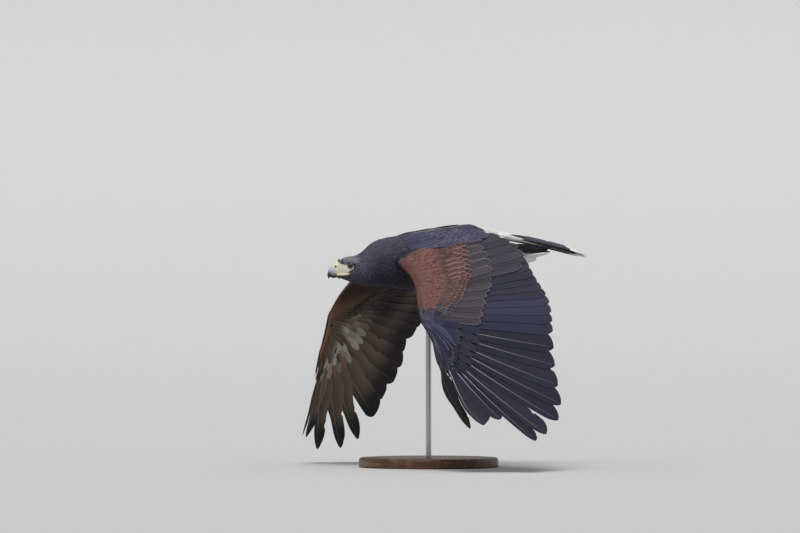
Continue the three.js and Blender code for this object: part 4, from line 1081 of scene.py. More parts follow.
for side in (1, -1):
    roots, ends = ([place(ahead, side * out, up) for out, up in row]
                   for ahead, row in ((-190, VENT_SIDE_ROOTS), (-302, VENT_SIDE_ENDS)))
    side_lie = Sheet(roots, [end - root for end, root in zip(ends, roots)], [0] * len(roots), -side)
    drawn = [luck.uniform(short, long, count) for _, _, count, short, long, _, _, _ in VENT_SIDE_TIERS]
    for (first, last, count, _, _, start, white, width), tips in zip(VENT_SIDE_TIERS, drawn):
        # Rows with no white are painted shadow between the tail and the white vent.
        cells = tier(tail_plumes, side_lie, np.linspace(first, last, count), tips, start, cells, width=width,
                     lift=2 * white, white=white, dusk=0.5, shade=0.1 + 0.9 * white, **SNOWY)
    if side > 0:
        cells = tier(tail_plumes, side_lie, [4.1], [98], 52, cells, width=14, lift=3, kind="blunt", drift=1.8,
                     white=0.7, dusk=0.5, shade=1, **SNOWY)
tail_paint = feather_paint("tail_feather_vanes", fringe=0.4)
tail = tail_plumes.mesh("tail_feathers", tail_paint)
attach(tail, "root")
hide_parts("tail")

# Small feathers
# Thousands of small soft feathers in rows, each over the roots of the next ones: long on back and breast,
# and tiny round the face and on the wings' leading edges. One feather is repeated over points on the skin,
# turned to lie along it, and a coat is left as one plain mesh.
FEATHER_COLUMNS, FEATHER_ROWS = 5, 5
PATCH, ON_SKIN, CHANCE_SEED = 0.003, 0.7, 5
skin_tree = BVHTree.FromPolygons([v.co / MM for v in skin.data.vertices],
                                 [tuple(p.vertices) for p in skin.data.polygons])


def small_feather():
    """One cupped feather of unit width and length, rooted at the origin and lying along Y."""
    share = np.array([0, 0.3, 0.6, 0.85, 1.0])
    wide = np.array([0.42, 0.9, 1.0, 0.86, 0.45]) / 2
    side = np.array([-1, -0.55, 0, 0.55, 1])
    x = wide[:, None] * side[None, :]
    y = share[:, None] - 0.08 * np.abs(side)[None, :] ** 2 * share[:, None]
    z = 0.5 * np.sin(share * 2.2)[:, None] - 0.55 * np.abs(side)[None, :] ** 1.8 * wide[:, None] * 2
    top = np.stack([x, y, z], -1)
    under = top - np.array([0, 0, 1]) * (0.28 * (1 - 0.6 * share))[:, None, None]
    points = np.concatenate([top.reshape(-1, 3), under.reshape(-1, 3)])
    faces, smooth = plate_faces(FEATHER_ROWS, FEATHER_COLUMNS)
    mesh = bpy.data.meshes.new("one_feather")
    mesh.from_pydata(points.tolist(), [], [face[::-1] for face in faces])
    mesh.polygons.foreach_set("use_smooth", smooth)
    run = np.tile(np.repeat(share, FEATHER_COLUMNS), 2)
    across = np.tile(side, FEATHER_ROWS * 2)
    below = np.repeat([0.0, 1.0], FEATHER_ROWS * FEATHER_COLUMNS)
    for key, value in (("run", run), ("side", across), ("below", below)):
        mesh.attributes.new(key, "FLOAT", "POINT").data.foreach_set("value", value.astype(np.float32))
    local = np.stack([(across + 1) / 4 + below / 2, run, 0 * run], 1).astype(np.float32)
    mesh.attributes.new("patch", "FLOAT_VECTOR", "POINT").data.foreach_set("vector", local.ravel())
    made = bpy.data.objects.new("one_feather", mesh)
    bpy.context.scene.collection.objects.link(made)
    return made


def coat_tree():
    """Puts the feather on every point of a coat, turned to lie along it, and gives it a patch to bake to."""
    tree = bpy.data.node_groups.new("coat_of_feathers", "GeometryNodeTree")
    face = tree.interface
    face.new_socket("Points", in_out="INPUT", socket_type="NodeSocketGeometry")
    face.new_socket("Feather", in_out="INPUT", socket_type="NodeSocketObject")
    face.new_socket("Finish", in_out="INPUT", socket_type="NodeSocketMaterial")
    face.new_socket("Patch Size", in_out="INPUT", socket_type="NodeSocketFloat")
    face.new_socket("Coat", in_out="OUTPUT", socket_type="NodeSocketGeometry")
    start = Wire(tree, None)
    held = tree.nodes.new("NodeGroupInput")
    points, feather, finish, patch = (Wire(tree, held.outputs[i]) for i in range(4))
    lie, out, size, unwrap, patch_place = (
        start.add("GeometryNodeInputNamedAttribute", {"data_type": "FLOAT_VECTOR"}, {"Name": name})
        for name in ("lie", "out", "size", "unwrap", "patch"))
    lies = start.add("FunctionNodeAlignRotationToVector", {"axis": "Y"}, {"Vector": lie})
    turned = start.add("FunctionNodeAlignRotationToVector", {"axis": "Z", "pivot_axis": "Y"},
                       {"Rotation": lies, "Vector": out})
    shape = start.add("GeometryNodeObjectInfo", {}, {"Object": feather}, "Geometry")
    sown = start.add("GeometryNodeInstanceOnPoints", {},
                     {"Points": points, "Instance": shape, "Rotation": turned, "Scale": size})
    real = start.add("GeometryNodeRealizeInstances", {}, {"Geometry": sown})
    local = start.add("ShaderNodeVectorMath", {"operation": "SCALE"}, {0: patch_place, "Scale": patch})
    spot = start.add("ShaderNodeVectorMath", {"operation": "ADD"}, {0: unwrap, 1: local})
    stored = start.add("GeometryNodeStoreNamedAttribute", {"data_type": "FLOAT2", "domain": "CORNER"},
                       {"Geometry": real, "Name": "OFBake", "Value": spot})
    ended = start.add("GeometryNodeSetMaterial", {}, {"Geometry": stored, "Material": finish})
    tree.links.new(ended.socket, tree.nodes.new("NodeGroupOutput").inputs[0])
    return tree


one_feather, feather_coat = small_feather(), coat_tree()
HELPERS = ("lie", "out", "size", "unwrap", "patch")


def sow(name, seeds, finish):
    """Grows a coat of feathers on its points, as one plain mesh."""
    mesh = bpy.data.meshes.new(name)
    mesh.from_pydata((seeds["points"] * MM).tolist(), [], [])
    for key, value in seeds.items():
        if key != "points" and value.ndim == 2:
            scaled = value * MM if key == "size" else value
            layer = mesh.attributes.new(key, "FLOAT_VECTOR", "POINT")
            layer.data.foreach_set("vector", scaled.astype(np.float32).ravel())
        elif key != "points":
            mesh.attributes.new(key, "FLOAT", "POINT").data.foreach_set("value", value.astype(np.float32))
    made = bpy.data.objects.new(name, mesh)
    bpy.context.scene.collection.objects.link(made)
    grown = made.modifiers.new("coat", "NODES")
    grown.node_group = feather_coat
    inputs = [item for item in feather_coat.interface.items_tree if item.in_out == "INPUT"]
    sockets = {item.name: item.identifier for item in inputs}
    grown[sockets["Feather"]] = one_feather
    grown[sockets["Finish"]] = finish
    grown[sockets["Patch Size"]] = PATCH
    applied(made)
    for key in HELPERS:
        if key in made.data.attributes:
            made.data.attributes.remove(made.data.attributes[key])
    return made


def rows_on(grid, exposure, pitch, closed=False, even=False, start=0.0, end=0.0, seed=1):
    """Feather roots in staggered rows across a grid, whose first axis is the way that the feathers lie.

    exposure and pitch are the gaps between rows and between the roots of one row, or functions of how far the
    row is from the first one. Rows are at even shares of the way on a body, and even distances on a wing."""
    dice = np.random.default_rng(seed)
    steps = np.linalg.norm(np.diff(grid, axis=0), axis=2)
    if even:
        steps = np.repeat(steps.mean(1)[:, None], grid.shape[1], 1)
    runs = np.vstack([np.zeros(grid.shape[1]), np.cumsum(steps, 0)])
    lies = unit(np.gradient(grid, axis=0))
    if closed:
        grid, lies, runs = (np.concatenate([g, g[:, :1]], 1) for g in (grid, lies, runs))
    found = {key: [] for key in ("points", "lie", "side", "row", "share", "own", "across")}
    distance, row = start, 0
    while distance < runs[-1].max() - end:
        gap, between = (value(distance) if callable(value) else value for value in (exposure, pitch))
        line, tangent = np.empty((grid.shape[1], 3)), np.empty((grid.shape[1], 3))
        for j in range(grid.shape[1]):
            for axis in range(3):
                line[j, axis] = np.interp(distance, runs[:, j], grid[:, j, axis])
                tangent[j, axis] = np.interp(distance, runs[:, j], lies[:, j, axis])
        keep = runs[-1] - end > distance
        along = np.concatenate([[0], np.cumsum(np.linalg.norm(np.diff(line, axis=0), axis=1))])
        count = max(int(along[-1] / between), 1)
        spots = (np.arange(count) + 0.5 * (row % 2) + dice.normal(0, 0.10, count)) / count * along[-1]
        spots = np.mod(spots, along[-1]) if closed else np.clip(spots, 0, along[-1])
        slip = np.clip(dice.normal(0, 0.09, count), -0.2, 0.2) * gap
        tangents, places, cross = (
            np.stack([np.interp(spots, along, values[:, axis]) for axis in range(3)], 1)
            for values in (tangent, line, np.gradient(line, axis=0)))
        tangents, cross = unit(tangents), unit(cross)
        chosen = np.interp(spots, along, keep.astype(float)) > 0.6
        found["points"].append((places + tangents * slip[:, None])[chosen])
        found["lie"].append(tangents[chosen])
        found["side"].append(cross[chosen])
        found["row"].append(np.full(chosen.sum(), distance))
        found["share"].append(np.full(chosen.sum(), distance / runs[-1].max()))
        found["own"].append((distance / np.interp(spots, along, runs[-1]))[chosen])
        found["across"].append((spots / along[-1])[chosen])
        distance += gap
        row += 1
    return {key: np.concatenate(value) for key, value in found.items()}


def rooted(found):
    """Keeps the roots that are on the outer skin, and gives each its outward direction."""
    kept, outs = [], []
    for k, point in enumerate(found["points"]):
        _, normal, _, far = skin_tree.find_nearest(Vector(point))
        if far < ON_SKIN:
            kept.append(k)
            outs.append(normal)
    seeds = {key: value[kept] for key, value in found.items()}
    out = np.array(outs)
    facing = unit(np.cross(seeds["lie"], seeds.pop("side")))
    facing *= np.sign((facing * out).sum())
    out = unit(out * 0.4 * ((facing * out).sum(1) > 0)[:, None] + facing)
    seeds["out"] = unit(out - (out * seeds["lie"]).sum(1)[:, None] * seeds["lie"])
    seeds["chance"] = np.random.default_rng(CHANCE_SEED).random(len(kept))
    across, share = seeds["across"], seeds["share"]
    seeds["unwrap"] = np.stack([0.004 + across * 0.99, 0.004 + share * 0.985, 0 * share], 1)
    return seeds


def finished(seeds, length, width, tilt=0.1, ruffle=0.12, seed=3):
    """Sizes of the feathers, and a little disorder in how they lie."""
    dice = np.random.default_rng(seed)
    count = len(seeds["points"])
    cross = np.cross(seeds["lie"], seeds["out"])
    lie = seeds["lie"] + seeds["out"] * (tilt + dice.normal(0, 0.02, count))[:, None]
    seeds["lie"] = unit(lie + cross * dice.normal(0, ruffle, count)[:, None])
    seeds["points"] = seeds["points"] - seeds["out"] * 0.35
    grown = 1 + dice.normal(0, 0.08, count)
    length, width = np.broadcast_to(length, (count,)), np.broadcast_to(width, (count,))
    seeds["size"] = np.stack([width * grown, length * grown, 0.09 * length + 0.6], 1)
    seeds["wide"], seeds["long"] = width * grown, length * grown
    return seeds


def some(seeds, chosen):
    """The roots that are chosen, with all their traits."""
    return {key: value[chosen] for key, value in seeds.items()}


coat_paint = feather_paint("small_feathers", fringe=0.75, small=True)


# The coats
# How far apart the rows of small feathers are, by the distance from the cere on the body and from the
# leading edge on a wing. The body's coat is cut into rump, back, shoulders, breast and head, and a wing's
# into top and underside.
BODY_ROWS = ([0, 8, 20, 45, 75, 105, 150, 330], [1.4, 1.8, 2.1, 2.6, 3.6, 5.4, 8.0, 8.4])
WING_ROWS = ([0, 12, 30, 55, 90], [2.6, 3.8, 6.2, 9.6, 10.5])
BODY_PARTS = {"rump": (-400, -150), "back": (-150, -70), "shoulders": (-70, 0), "breast": (0, 60),
              "head": (60, 200)}
THIGH_ROWS, THIGH_PITCH = 5.0, 4.4
UNDER_SHARE, UNDER_SHARE_ON_HAND = 0.88, 0.5  # how much of a wing's underside has small feathers
HAND_BELOW = 100  # what is further below the shoulders than this is on the hand


def spaced(rows, closeness=1.0):
    """The gap between feathers as a function of the distance from the first row."""
    return lambda run: float(through(*rows, run)[0]) * closeness


def grow(name, seeds):
    coat = sow(name, seeds, coat_paint)
    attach(coat, "root")


found = rows_on(BODY_GRID, spaced(BODY_ROWS), spaced(BODY_ROWS, 0.86), closed=True, even=True, start=2.5)
seeds = rooted(found)
seeds = some(seeds, bare_face(seeds["points"]) < 0.5)
gap = through(*BODY_ROWS, seeds["row"])
seeds = finished(seeds, gap * 2.5, gap * 1.35, tilt=0.05, ruffle=0.09)
seeds.update(body_marks(seeds["points"]))
ahead = SHOULDERS[1] - seeds["points"][:, 1]
for part, (low, high) in BODY_PARTS.items():
    grow(f"coat_{part}", some(seeds, (ahead >= low) & (ahead < high)))
for name, wing in WINGS.items():
    for face in ("upper", "under"):
        found = rows_on(wing[face], spaced(WING_ROWS), spaced(WING_ROWS, 0.92), start=1.0, end=3.0, seed=11)
        seeds, below = rooted(found), face == "under"
        if below:
            hanging = seeds["points"][:, 2] < SHOULDERS[2] - HAND_BELOW
            seeds = some(seeds, seeds["own"] < np.where(hanging, UNDER_SHARE_ON_HAND, UNDER_SHARE))
        gap, own = through(*WING_ROWS, seeds["row"]), seeds["own"]
        on_hand = 1 - wing_rufous(seeds["points"])
        seeds["lie"] = unit(seeds["lie"] + wing["hand_line"] * on_hand[:, None])
        left = seeds["row"] * (1 / np.maximum(own, 0.05) - 1)
        seeds = finished(seeds, np.minimum(gap * 2.4, left + 6), gap * 1.2, tilt=0.05, ruffle=0.1, seed=12)
        red = smoothstep(0.62, 0.42, own) if below else 1 - on_hand
        low = smoothstep(-85, -105, seeds["points"][:, 2] - SHOULDERS[2])
        # Painted shadow on the underside of the wing: dark near the body and behind the leading edge.
        from_body = np.abs(seeds["points"][:, 0])
        shadow = np.maximum(0.85 * smoothstep(165, 100, from_body), smoothstep(0.10, 0.25, own) * 0.45)
        seeds.update(rufous=red, white=0 * gap, pale=0 * gap, dusk=0.1 + 0.5 * (1 - red) * (1 - low),
                     shade=0.97 - low * (0.05 + 0.35 * smoothstep(14, 34, seeds["row"])),
                     spot=smoothstep(0.5, 0.75, own) * 0.85 * red, gloom=below * shadow,
                     underwing=0 * gap + below)
        grow(f"coat_wing_{name}_{face}", seeds)
for name, grid in THIGH_GRIDS.items():
    seeds = rooted(rows_on(grid, THIGH_ROWS, THIGH_PITCH, closed=True, even=True, start=0, seed=21))
    seeds = finished(seeds, 12.5, 6.0, tilt=0.06, seed=22)
    zero = 0 * seeds["chance"]
    seeds.update(rufous=zero + 1, white=zero, dusk=zero + 0.9, shade=zero + 0.9, spot=zero, pale=zero)
    grow(f"coat_thigh_{name}", seeds)
bpy.data.objects.remove(one_feather)

# Face: eyes, lids, cere, beak and gape
# Dark brown eyes look out sideways and ahead under bony brows, each in a ring of pale skin. The cere is
# soft cream skin with the nostrils in it, and the beak of pale horn ends in a black hook. A fleshy lip runs
# back from it.
CERE = [((29.0, 15.9), (29.0, -10.9), 9.6), ((31.4, 14.2), (29.8, -10.9), 9.1),
        ((34, 11.8), (30.4, -10.7), 8.3), ((36.2, 8.8), (30.9, -10.6), 7.6),
        ((37.9, 6.2), (31.3, -10.5), 6.8)]
UPPER_BEAK = [((37.4, 6.5), (31.0, -11.4), 6.9), ((40.0, 5.2), (32.6, -12.9), 6.3),
              ((42, 3.5), (34, -13.7), 5.6), ((45.4, -1.8), (37.5, -14.6), 4.4),
              ((47.2, -8), (40.2, -14.9), 3.2), ((47.3, -12.5), (42.8, -15.2), 2.1),
              ((46.2, -16.4), (44.3, -16.2), 1.0), ((45.3, -18.1), (44.9, -18.0), 0.25)]
LOWER_BEAK = [((29.3, -11.1), (29.3, -15.6), 6.2), ((33, -12.3), (32.8, -16.2), 5.0),
              ((37, -13.6), (37, -16.4), 3.4), ((40, -14.6), (40, -15.8), 1.6)]
GAPE = [(30.5, 8.4, -9.7), (23, 13.5, -10.2), (16, 17.6, -9.6), (10, 20.3, -8.6)]
NOSTRIL, LIDS_DROP = (33.4, 8.2, 4.0), 0.9


def head_loft(sections, step, count, power):
    tops = in_head(*np.array([(a, 0, b) for (a, b), _, _ in sections]).T)
    bottoms = in_head(*np.array([(a, 0, b) for _, (a, b), _ in sections]).T)
    halves = np.array([w for _, _, w in sections], float)
    sides = np.repeat(HEAD_LEFT[None], len(sections), 0)
    return grid_through(tops, bottoms, sides, halves, 0 * halves, step, count, power)


def move_points(made, points):
    made.data.vertices.foreach_set("co", (points * MM).ravel())
    made.data.update()


def joined(name, *pieces):
    """One mesh from several grids' points and faces."""
    points, faces, count = [], [], 0
    for more, shapes in pieces:
        points.append(more)
        faces += [tuple(i + count for i in shape) for shape in shapes]
        count += len(more)
    return mesh_object(name, np.concatenate(points), faces)


horn = Paint("beak_horn", roughness=0.32, Specular_IOR_Level=0.45)
along, spread = horn.trait("run"), horn.noise(horn.here(), 260.0, 4.0)
drawn_out = horn.start.add("ShaderNodeMapping", {}, {"Vector": horn.here(), "Scale": (900.0, 900.0, 90.0)})
streaks = horn.noise(drawn_out, 1.0)
darker = (along + spread * 0.25 - 0.12).step(0.30, 0.80)
pale_horn = (streaks * 0.7).mixed(tone(0.40, 0.49, 0.60), tone(0.58, 0.66, 0.74))
horn.colour(darker.mixed(pale_horn, tone(0.018, 0.018, 0.022)))
horn.rough(0.22 + spread * 0.25)
horn.bump(streaks, 0.00015, 0.3)

soft_skin = Paint("cere_skin", roughness=0.5, Specular_IOR_Level=0.4)
grain, mottle = soft_skin.noise(soft_skin.here(), 1400.0, 3.0), soft_skin.noise(soft_skin.here(), 160.0, 4.0)
pores = soft_skin.start.add("ShaderNodeTexVoronoi", {}, {"Vector": soft_skin.here(), "Scale": 900.0})
cream = (mottle * 0.9).mixed(tone(0.70, 0.62, 0.33), tone(0.86, 0.82, 0.62))
# Painted shade darkens the cream: inside the nostrils and under the brow on the lids.
soft_skin.colour((soft_skin.trait("dark") + (grain - 0.5) * 0.15).mixed(cream, tone(0.03, 0.025, 0.02)))
soft_skin.rough(0.38 + grain * 0.25)
soft_skin.bump(pores + grain * 0.6, 0.00025, 0.5)

cere_grid = head_loft(CERE, 0.35, 96, 2.3)
cere = mesh_object("cere_soft", *closed_grid(cere_grid))
where = points_of(cere)
near = to_head(where)
spots = [in_head(NOSTRIL[0], side * NOSTRIL[1], NOSTRIL[2]) for side in (1, -1)]
# The nostrils are dents painted dark, as painted shade inside their openings.
dark = np.zeros(len(where))
for side in (1, -1):
    du, dz = near[:, 0] - NOSTRIL[0], near[:, 2] - NOSTRIL[2]
    a, b = du * 0.82 + dz * 0.57, dz * 0.82 - du * 0.57
    reach = np.hypot(a / 1.6, b / 2.3) + 50.0 * (near[:, 1] * side < 3)
    where = where - side * HEAD_LEFT * (smoothstep(1.15, 0.55, reach) * 1.5)[:, None]
    where = where + side * HEAD_LEFT * (np.exp(-((reach - 1.5) / 0.35) ** 2) * 0.28)[:, None]
    dark = np.maximum(dark, smoothstep(1.05, 0.7, reach))
fold = np.exp(-((near[:, 0] - 29.9) / 0.7) ** 2) * 0.35
where = where + unit(where - in_head(31, 0, 1)) * fold[:, None]
move_points(cere, where)
keep_trait(cere, "dark", dark)
cere.data.materials.append(soft_skin.material)

upper = head_loft(UPPER_BEAK, 0.3, 72, 2.0)
lower = head_loft(LOWER_BEAK, 0.3, 60, 2.2)
upper_beak = mesh_object("upper_beak", *closed_grid(upper))
lower_beak = mesh_object("lower_beak", *closed_grid(lower))
for made, ends in ((upper_beak, ((33, 4), (46, -17))), (lower_beak, ((31, -13), (44, -15)))):
    near = to_head(points_of(made))
    (a, b), (c, d) = ends
    share = ((near[:, 0] - a) * (c - a) + (near[:, 2] - b) * (d - b)) / ((c - a) ** 2 + (d - b) ** 2)
    keep_trait(made, "run", np.clip(share + 0.7 * (made == lower_beak), 0, 1))
    made.data.materials.append(horn.material)


def lip(side, drop, radius):
    path = np.array([in_head(a, side * (l - 0.25), u + drop) for a, l, u in GAPE])
    return closed_grid(tube_grid(path, np.array([0.9, 1.15, 1.1, 0.35]) * radius, 0.5, 20, side * HEAD_AHEAD))


LIPS = ((0.95, 1.0), (-0.75, 0.95))  # how far above the line of the mouth each lip is, and its thickness
lips = joined("gape_lips", *[lip(side, drop, radius) for side in (1, -1) for drop, radius in LIPS])
keep_trait(lips, "dark", np.zeros(len(lips.data.vertices)))
lips.data.materials.append(soft_skin.material)

eye_glass = Paint("eye", roughness=0.05, Specular_IOR_Level=0.5, Coat_Weight=0.2)
gaze, turn = eye_glass.trait("gaze"), eye_glass.trait("turn")
angle = turn * 6.2832
fibre_places = eye_glass.vector(angle.call("COSINE") * 9.0, angle.call("SINE") * 9.0, gaze * 3.0)
fibres = eye_glass.noise(fibre_places, 1.0, 4.0)
iris = (fibres * 0.9).mixed(tone(0.035, 0.018, 0.010), tone(0.12, 0.062, 0.028))
iris = gaze.step(0.30, 0.42).mixed(tone(0.012, 0.006, 0.004), iris)
iris = gaze.step(0.50, 0.58).mixed(iris, tone(0.014, 0.008, 0.006))
eye_glass.colour(gaze.step(0.24, 0.27).mixed(tone(0.002, 0.002, 0.002), iris))


def eyeball(side):
    """A ball whose pole is the middle of the pupil, with the clear front standing slightly proud."""
    axis = unit(EYE_AXIS[0] * HEAD_AHEAD + side * EYE_AXIS[1] * HEAD_LEFT + EYE_AXIS[2] * UP)
    first = unit(np.cross(UP, axis))
    second = np.cross(axis, first)
    centre = in_head(EYE[0], side * EYE[1], EYE[2])
    polar = np.linspace(0.02, 1, 40) * np.pi
    around = np.arange(64) / 64 * 2 * np.pi
    radius = EYE_RADIUS - 0.25 + 0.45 * np.cos(np.clip(polar / 0.75, 0, 1) * np.pi / 2) ** 2
    ring = np.cos(around)[None, :, None] * first + np.sin(around)[None, :, None] * second
    outwards = np.cos(polar)[:, None, None] * axis + np.sin(polar)[:, None, None] * ring
    grid = centre + radius[:, None, None] * outwards
    made = mesh_object(f"eye_{'left' if side > 0 else 'right'}_ball", *closed_grid(grid))
    off = points_of(made) - centre
    reach, u, v = off @ axis, off @ first, off @ second
    keep_trait(made, "gaze", np.arccos(np.clip(reach / np.linalg.norm(off, axis=1), -1, 1)) / (np.pi / 2))
    keep_trait(made, "turn", np.arctan2(v, u) / (2 * np.pi) + 0.5)
    made.data.materials.append(eye_glass.material)
    return made


def lid(side):
    """The bare ring of skin round an eye, a little drawn out to the front and back, with fine wrinkles."""
    axis = unit(EYE_AXIS[0] * HEAD_AHEAD + side * EYE_AXIS[1] * HEAD_LEFT + EYE_AXIS[2] * UP)
    first = unit(HEAD_AHEAD - (HEAD_AHEAD @ axis) * axis)
    second = unit(np.cross(first, axis) * -side)
    centre = in_head(EYE[0], side * EYE[1], EYE[2])
    around = np.arange(96) / 96 * 2 * np.pi
    wrinkle = 0.10 * np.cos(around * 31)
    long, high = 5.1 * (1 + 0.06 * np.abs(np.cos(around))), 4.5 - 0.7 * np.clip(np.sin(around), 0, 1)
    rings = []
    for turn in np.arange(14) / 14 * 2 * np.pi:
        off = 0.68 * math.cos(turn) * (1 + wrinkle)
        out = 5.4 + 0.9 * math.sin(turn) * (1 + wrinkle) - 0.35 * np.cos(around) ** 2
        rings.append(centre + ((long + off) * np.cos(around))[:, None] * first
                     + ((high + off) * np.sin(around))[:, None] * second + out[:, None] * axis)
    grid = np.array(rings)
    faces = [(k * 96 + i, k * 96 + (i + 1) % 96, (k + 1) % 14 * 96 + (i + 1) % 96, (k + 1) % 14 * 96 + i)
             for k in range(14) for i in range(96)]
    return grid.reshape(-1, 3), faces


eyes = [eyeball(1), eyeball(-1)]
lids = joined("eye_lids", lid(1), lid(-1))
near = to_head(points_of(lids)) - np.array([EYE[0] + 2.5, 0, EYE[2] - LIDS_DROP])
# Painted shadow of the brow darkens the upper front of each lid ring.
keep_trait(lids, "dark", smoothstep(-2.5, 1.0, near[:, 2] + 0.4 * near[:, 0]) * 0.9)
lids.data.materials.append(soft_skin.material)
FACE_PIECES = ((cere, "cere_skin", ["cere"]), (upper_beak, "beak_horn", ["beak_upper"]),
               (lower_beak, "beak_horn", ["beak_lower"]), (lips, "cere_skin", []), (lids, "cere_skin", []),
               (eyes[0], "eye", ["eye_left"]), (eyes[1], "eye", ["eye_right"]))
for piece, slot, nodes in FACE_PIECES:
    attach(piece, "root")
    if nodes:
        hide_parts(*nodes)

# Legs and talons
# Yellow scaly shanks and closed feet, drawn back under the tail. Broad plates run down the front of each
# shank and along the toes, with small round scales behind and pads below. Each toe ends in a long black
# hooked talon.
SHANK = [(-158, 25.2, -60.4, 7.2), (-170, 24.5, -58, 4.9), (-185, 23.4, -54.5, 4.2), (-200, 22, -50.5, 4.2),
         (-216, 21, -46.6, 4.3), (-228, 20, -43.5, 4.7), (-235, 19.5, -42, 5.9), (-240, 19, -40.5, 5.0),
         (-243, 18.8, -40, 3.2)]
TOE_START = (-235, 19.5, -42)
SHIN_SLOPE = math.radians(14)
TOES = [dict(aside=(-1, -4), angles=(-80, -35, 15), steps=(9, 9, 5), claw=(55, 95, 135), claw_step=7.5),
        dict(aside=(-4.5, -11), angles=(75, 35, -5), steps=(9, 9, 8), claw=(-45, -85, -125), claw_step=7.5),
        dict(aside=(0, 0), angles=(80, 50, 10, -35), steps=(10, 11, 10, 7), claw=(-70, -105, -140),
             claw_step=6),
        dict(aside=(4.5, 11), angles=(75, 40, 5), steps=(8, 9, 9), claw=(-35, -75, -115), claw_step=5.8)]
TOE_RADII = (5, 4.6, 4.4, 4, 3.4)
SCUTE, BEAD = 3.3, 1.5  # lengths of the plates and of the small round scales
CLAW_SHARES = (0.84, 0.55, 0.1)
BACK = np.array([0, math.cos(SHIN_SLOPE), math.sin(SHIN_SLOPE)])
DOWN = np.array([0, math.sin(SHIN_SLOPE), -math.cos(SHIN_SLOPE)])


def toe_path(toe, side):
    """Joints of a toe and its claw, in millimetres, and how many of them are the toe's."""
    angles, steps = toe["angles"] + toe["claw"], toe["steps"] + (toe["claw_step"],) * 3
    drift = LEFT * side * (toe["aside"][1] - toe["aside"][0]) / len(angles)
    points = [place(TOE_START[0], side * (TOE_START[1] + toe["aside"][0]), TOE_START[2])]
    for angle, step in zip(np.radians(angles), steps):
        points.append(points[-1] + drift + (BACK * math.cos(angle) + DOWN * math.sin(angle)) * step)
    return np.array(points), len(toe["angles"]) + 1


def scaly(grid, joints=(), pad=0.0):
    """Raises broad plates on the top of a limb, small round scales below, and pads under its joints."""
    centres = grid.mean(1)
    run = np.concatenate([[0], np.cumsum(np.linalg.norm(np.diff(centres, axis=0), axis=1))])[:, None]
    turn = np.arange(grid.shape[1])[None, :] / grid.shape[1] * 2 * np.pi
    outward = unit(grid - centres[:, None, :])
    above = smoothstep(-0.15, 0.25, np.sin(turn))
    plate = 1 - np.abs(2 * np.mod(run / SCUTE, 1) - 1) ** 7
    side_groove = np.clip(1 - np.exp(-((np.abs(np.cos(turn)) - 0.97) / 0.04) ** 2), 0, 1)
    shift = (np.floor(run / BEAD) % 2) * np.pi / 2
    beads = np.abs(np.sin(run * np.pi / BEAD)) * np.abs(np.cos(turn * 7 + shift))
    height = above * plate * side_groove * 0.42 + (1 - above) * beads * 0.34
    for joint in joints:
        height = height + pad * np.exp(-((run - joint) / 2.6) ** 2) * smoothstep(0.1, -0.7, np.sin(turn))
    ends = smoothstep(0, 2, run) * smoothstep(0, 1.5, run[-1] - run)
    return grid + outward * (height * ends)[..., None]


scales = Paint("leg_scales", roughness=0.42, Specular_IOR_Level=0.45)
grime = scales.noise(scales.here(), 120.0, 4.0)
fine = scales.noise(scales.here(), 900.0, 2.0)
# The scales are darker brown where the surface is hollow, in the grooves between them.
groove_darkening = scales.start.add("ShaderNodeNewGeometry", output="Pointiness").step(0.44, 0.52)
yellow = (grime * 0.9).mixed(tone(0.50, 0.30, 0.045), tone(0.66, 0.45, 0.11))
scales.colour(groove_darkening.mixed(tone(0.20, 0.11, 0.03), yellow))
scales.rough(0.34 + fine * 0.3)
scales.bump(fine, 0.0002, 0.4)
talon_horn = Paint("talon_horn", roughness=0.25, Specular_IOR_Level=0.5)
growth = talon_horn.noise(talon_horn.here(), 300.0, 3.0)
talon_horn.colour(growth.mixed(tone(0.008, 0.008, 0.009), tone(0.035, 0.032, 0.032)))
talon_horn.rough(0.18 + growth * 0.2)
talon_horn.bump(growth, 0.0001, 0.3)
for name, side in (("left", 1), ("right", -1)):
    path = np.array([place(f, side * out, up) for f, out, up, _ in SHANK])
    limb = [closed_grid(scaly(tube_grid(path, [r for *_, r in SHANK], 0.55, 44)))]
    claws = []
    for toe in TOES:
        path, count = toe_path(toe, side)
        radii = TOE_RADII[:count] + tuple(share * TOE_RADII[count - 1] for share in CLAW_SHARES)
        joints = np.cumsum(toe["steps"])
        limb.append(closed_grid(scaly(tube_grid(path[:count], radii[:count], 0.55, 36), joints, 1.3)))
        claws.append(closed_grid(tube_grid(path[count - 1:], np.array(radii[count - 1:]) * 0.95, 0.5, 28)))
    leg, talons = joined(f"leg_{name}", *limb), joined(f"talons_{name}", *claws)
    leg.data.materials.append(scales.material)
    talons.data.materials.append(talon_horn.material)
    for piece, slot in ((leg, "leg_scales"), (talons, "talon_horn")):
        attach(piece, "root")
    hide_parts(f"tarsus_{name}", f"foot_{name}")
    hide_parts(*[f"talon_{name}_{k}" for k in (1, 2, 3, 4)])

# Display stand
# A turned disc of oiled walnut with a straight rod of brushed steel let into its middle. The rod goes up
# into the belly and carries the bird.
BASE_RADIUS, BASE_HEIGHT, ROD_RADIUS = 128, 18, 5


def turned(profile, count):
    """A closed solid of revolution round the upright axis."""
    angle = np.arange(count) / count * 2 * np.pi
    ring = np.stack([np.cos(angle), np.sin(angle), 0 * angle], 1)
    return closed_grid(np.array([ring * r + [0, 0, z] for r, z in profile]))


def rounded_corner(radius, height, size, upward):
    turn = np.linspace(0, np.pi / 2, 8)
    if upward:
        return [(radius - size + size * math.cos(a), height - size + size * math.sin(a)) for a in turn]
    return [(radius - size + size * math.sin(a), size - size * math.cos(a)) for a in turn]


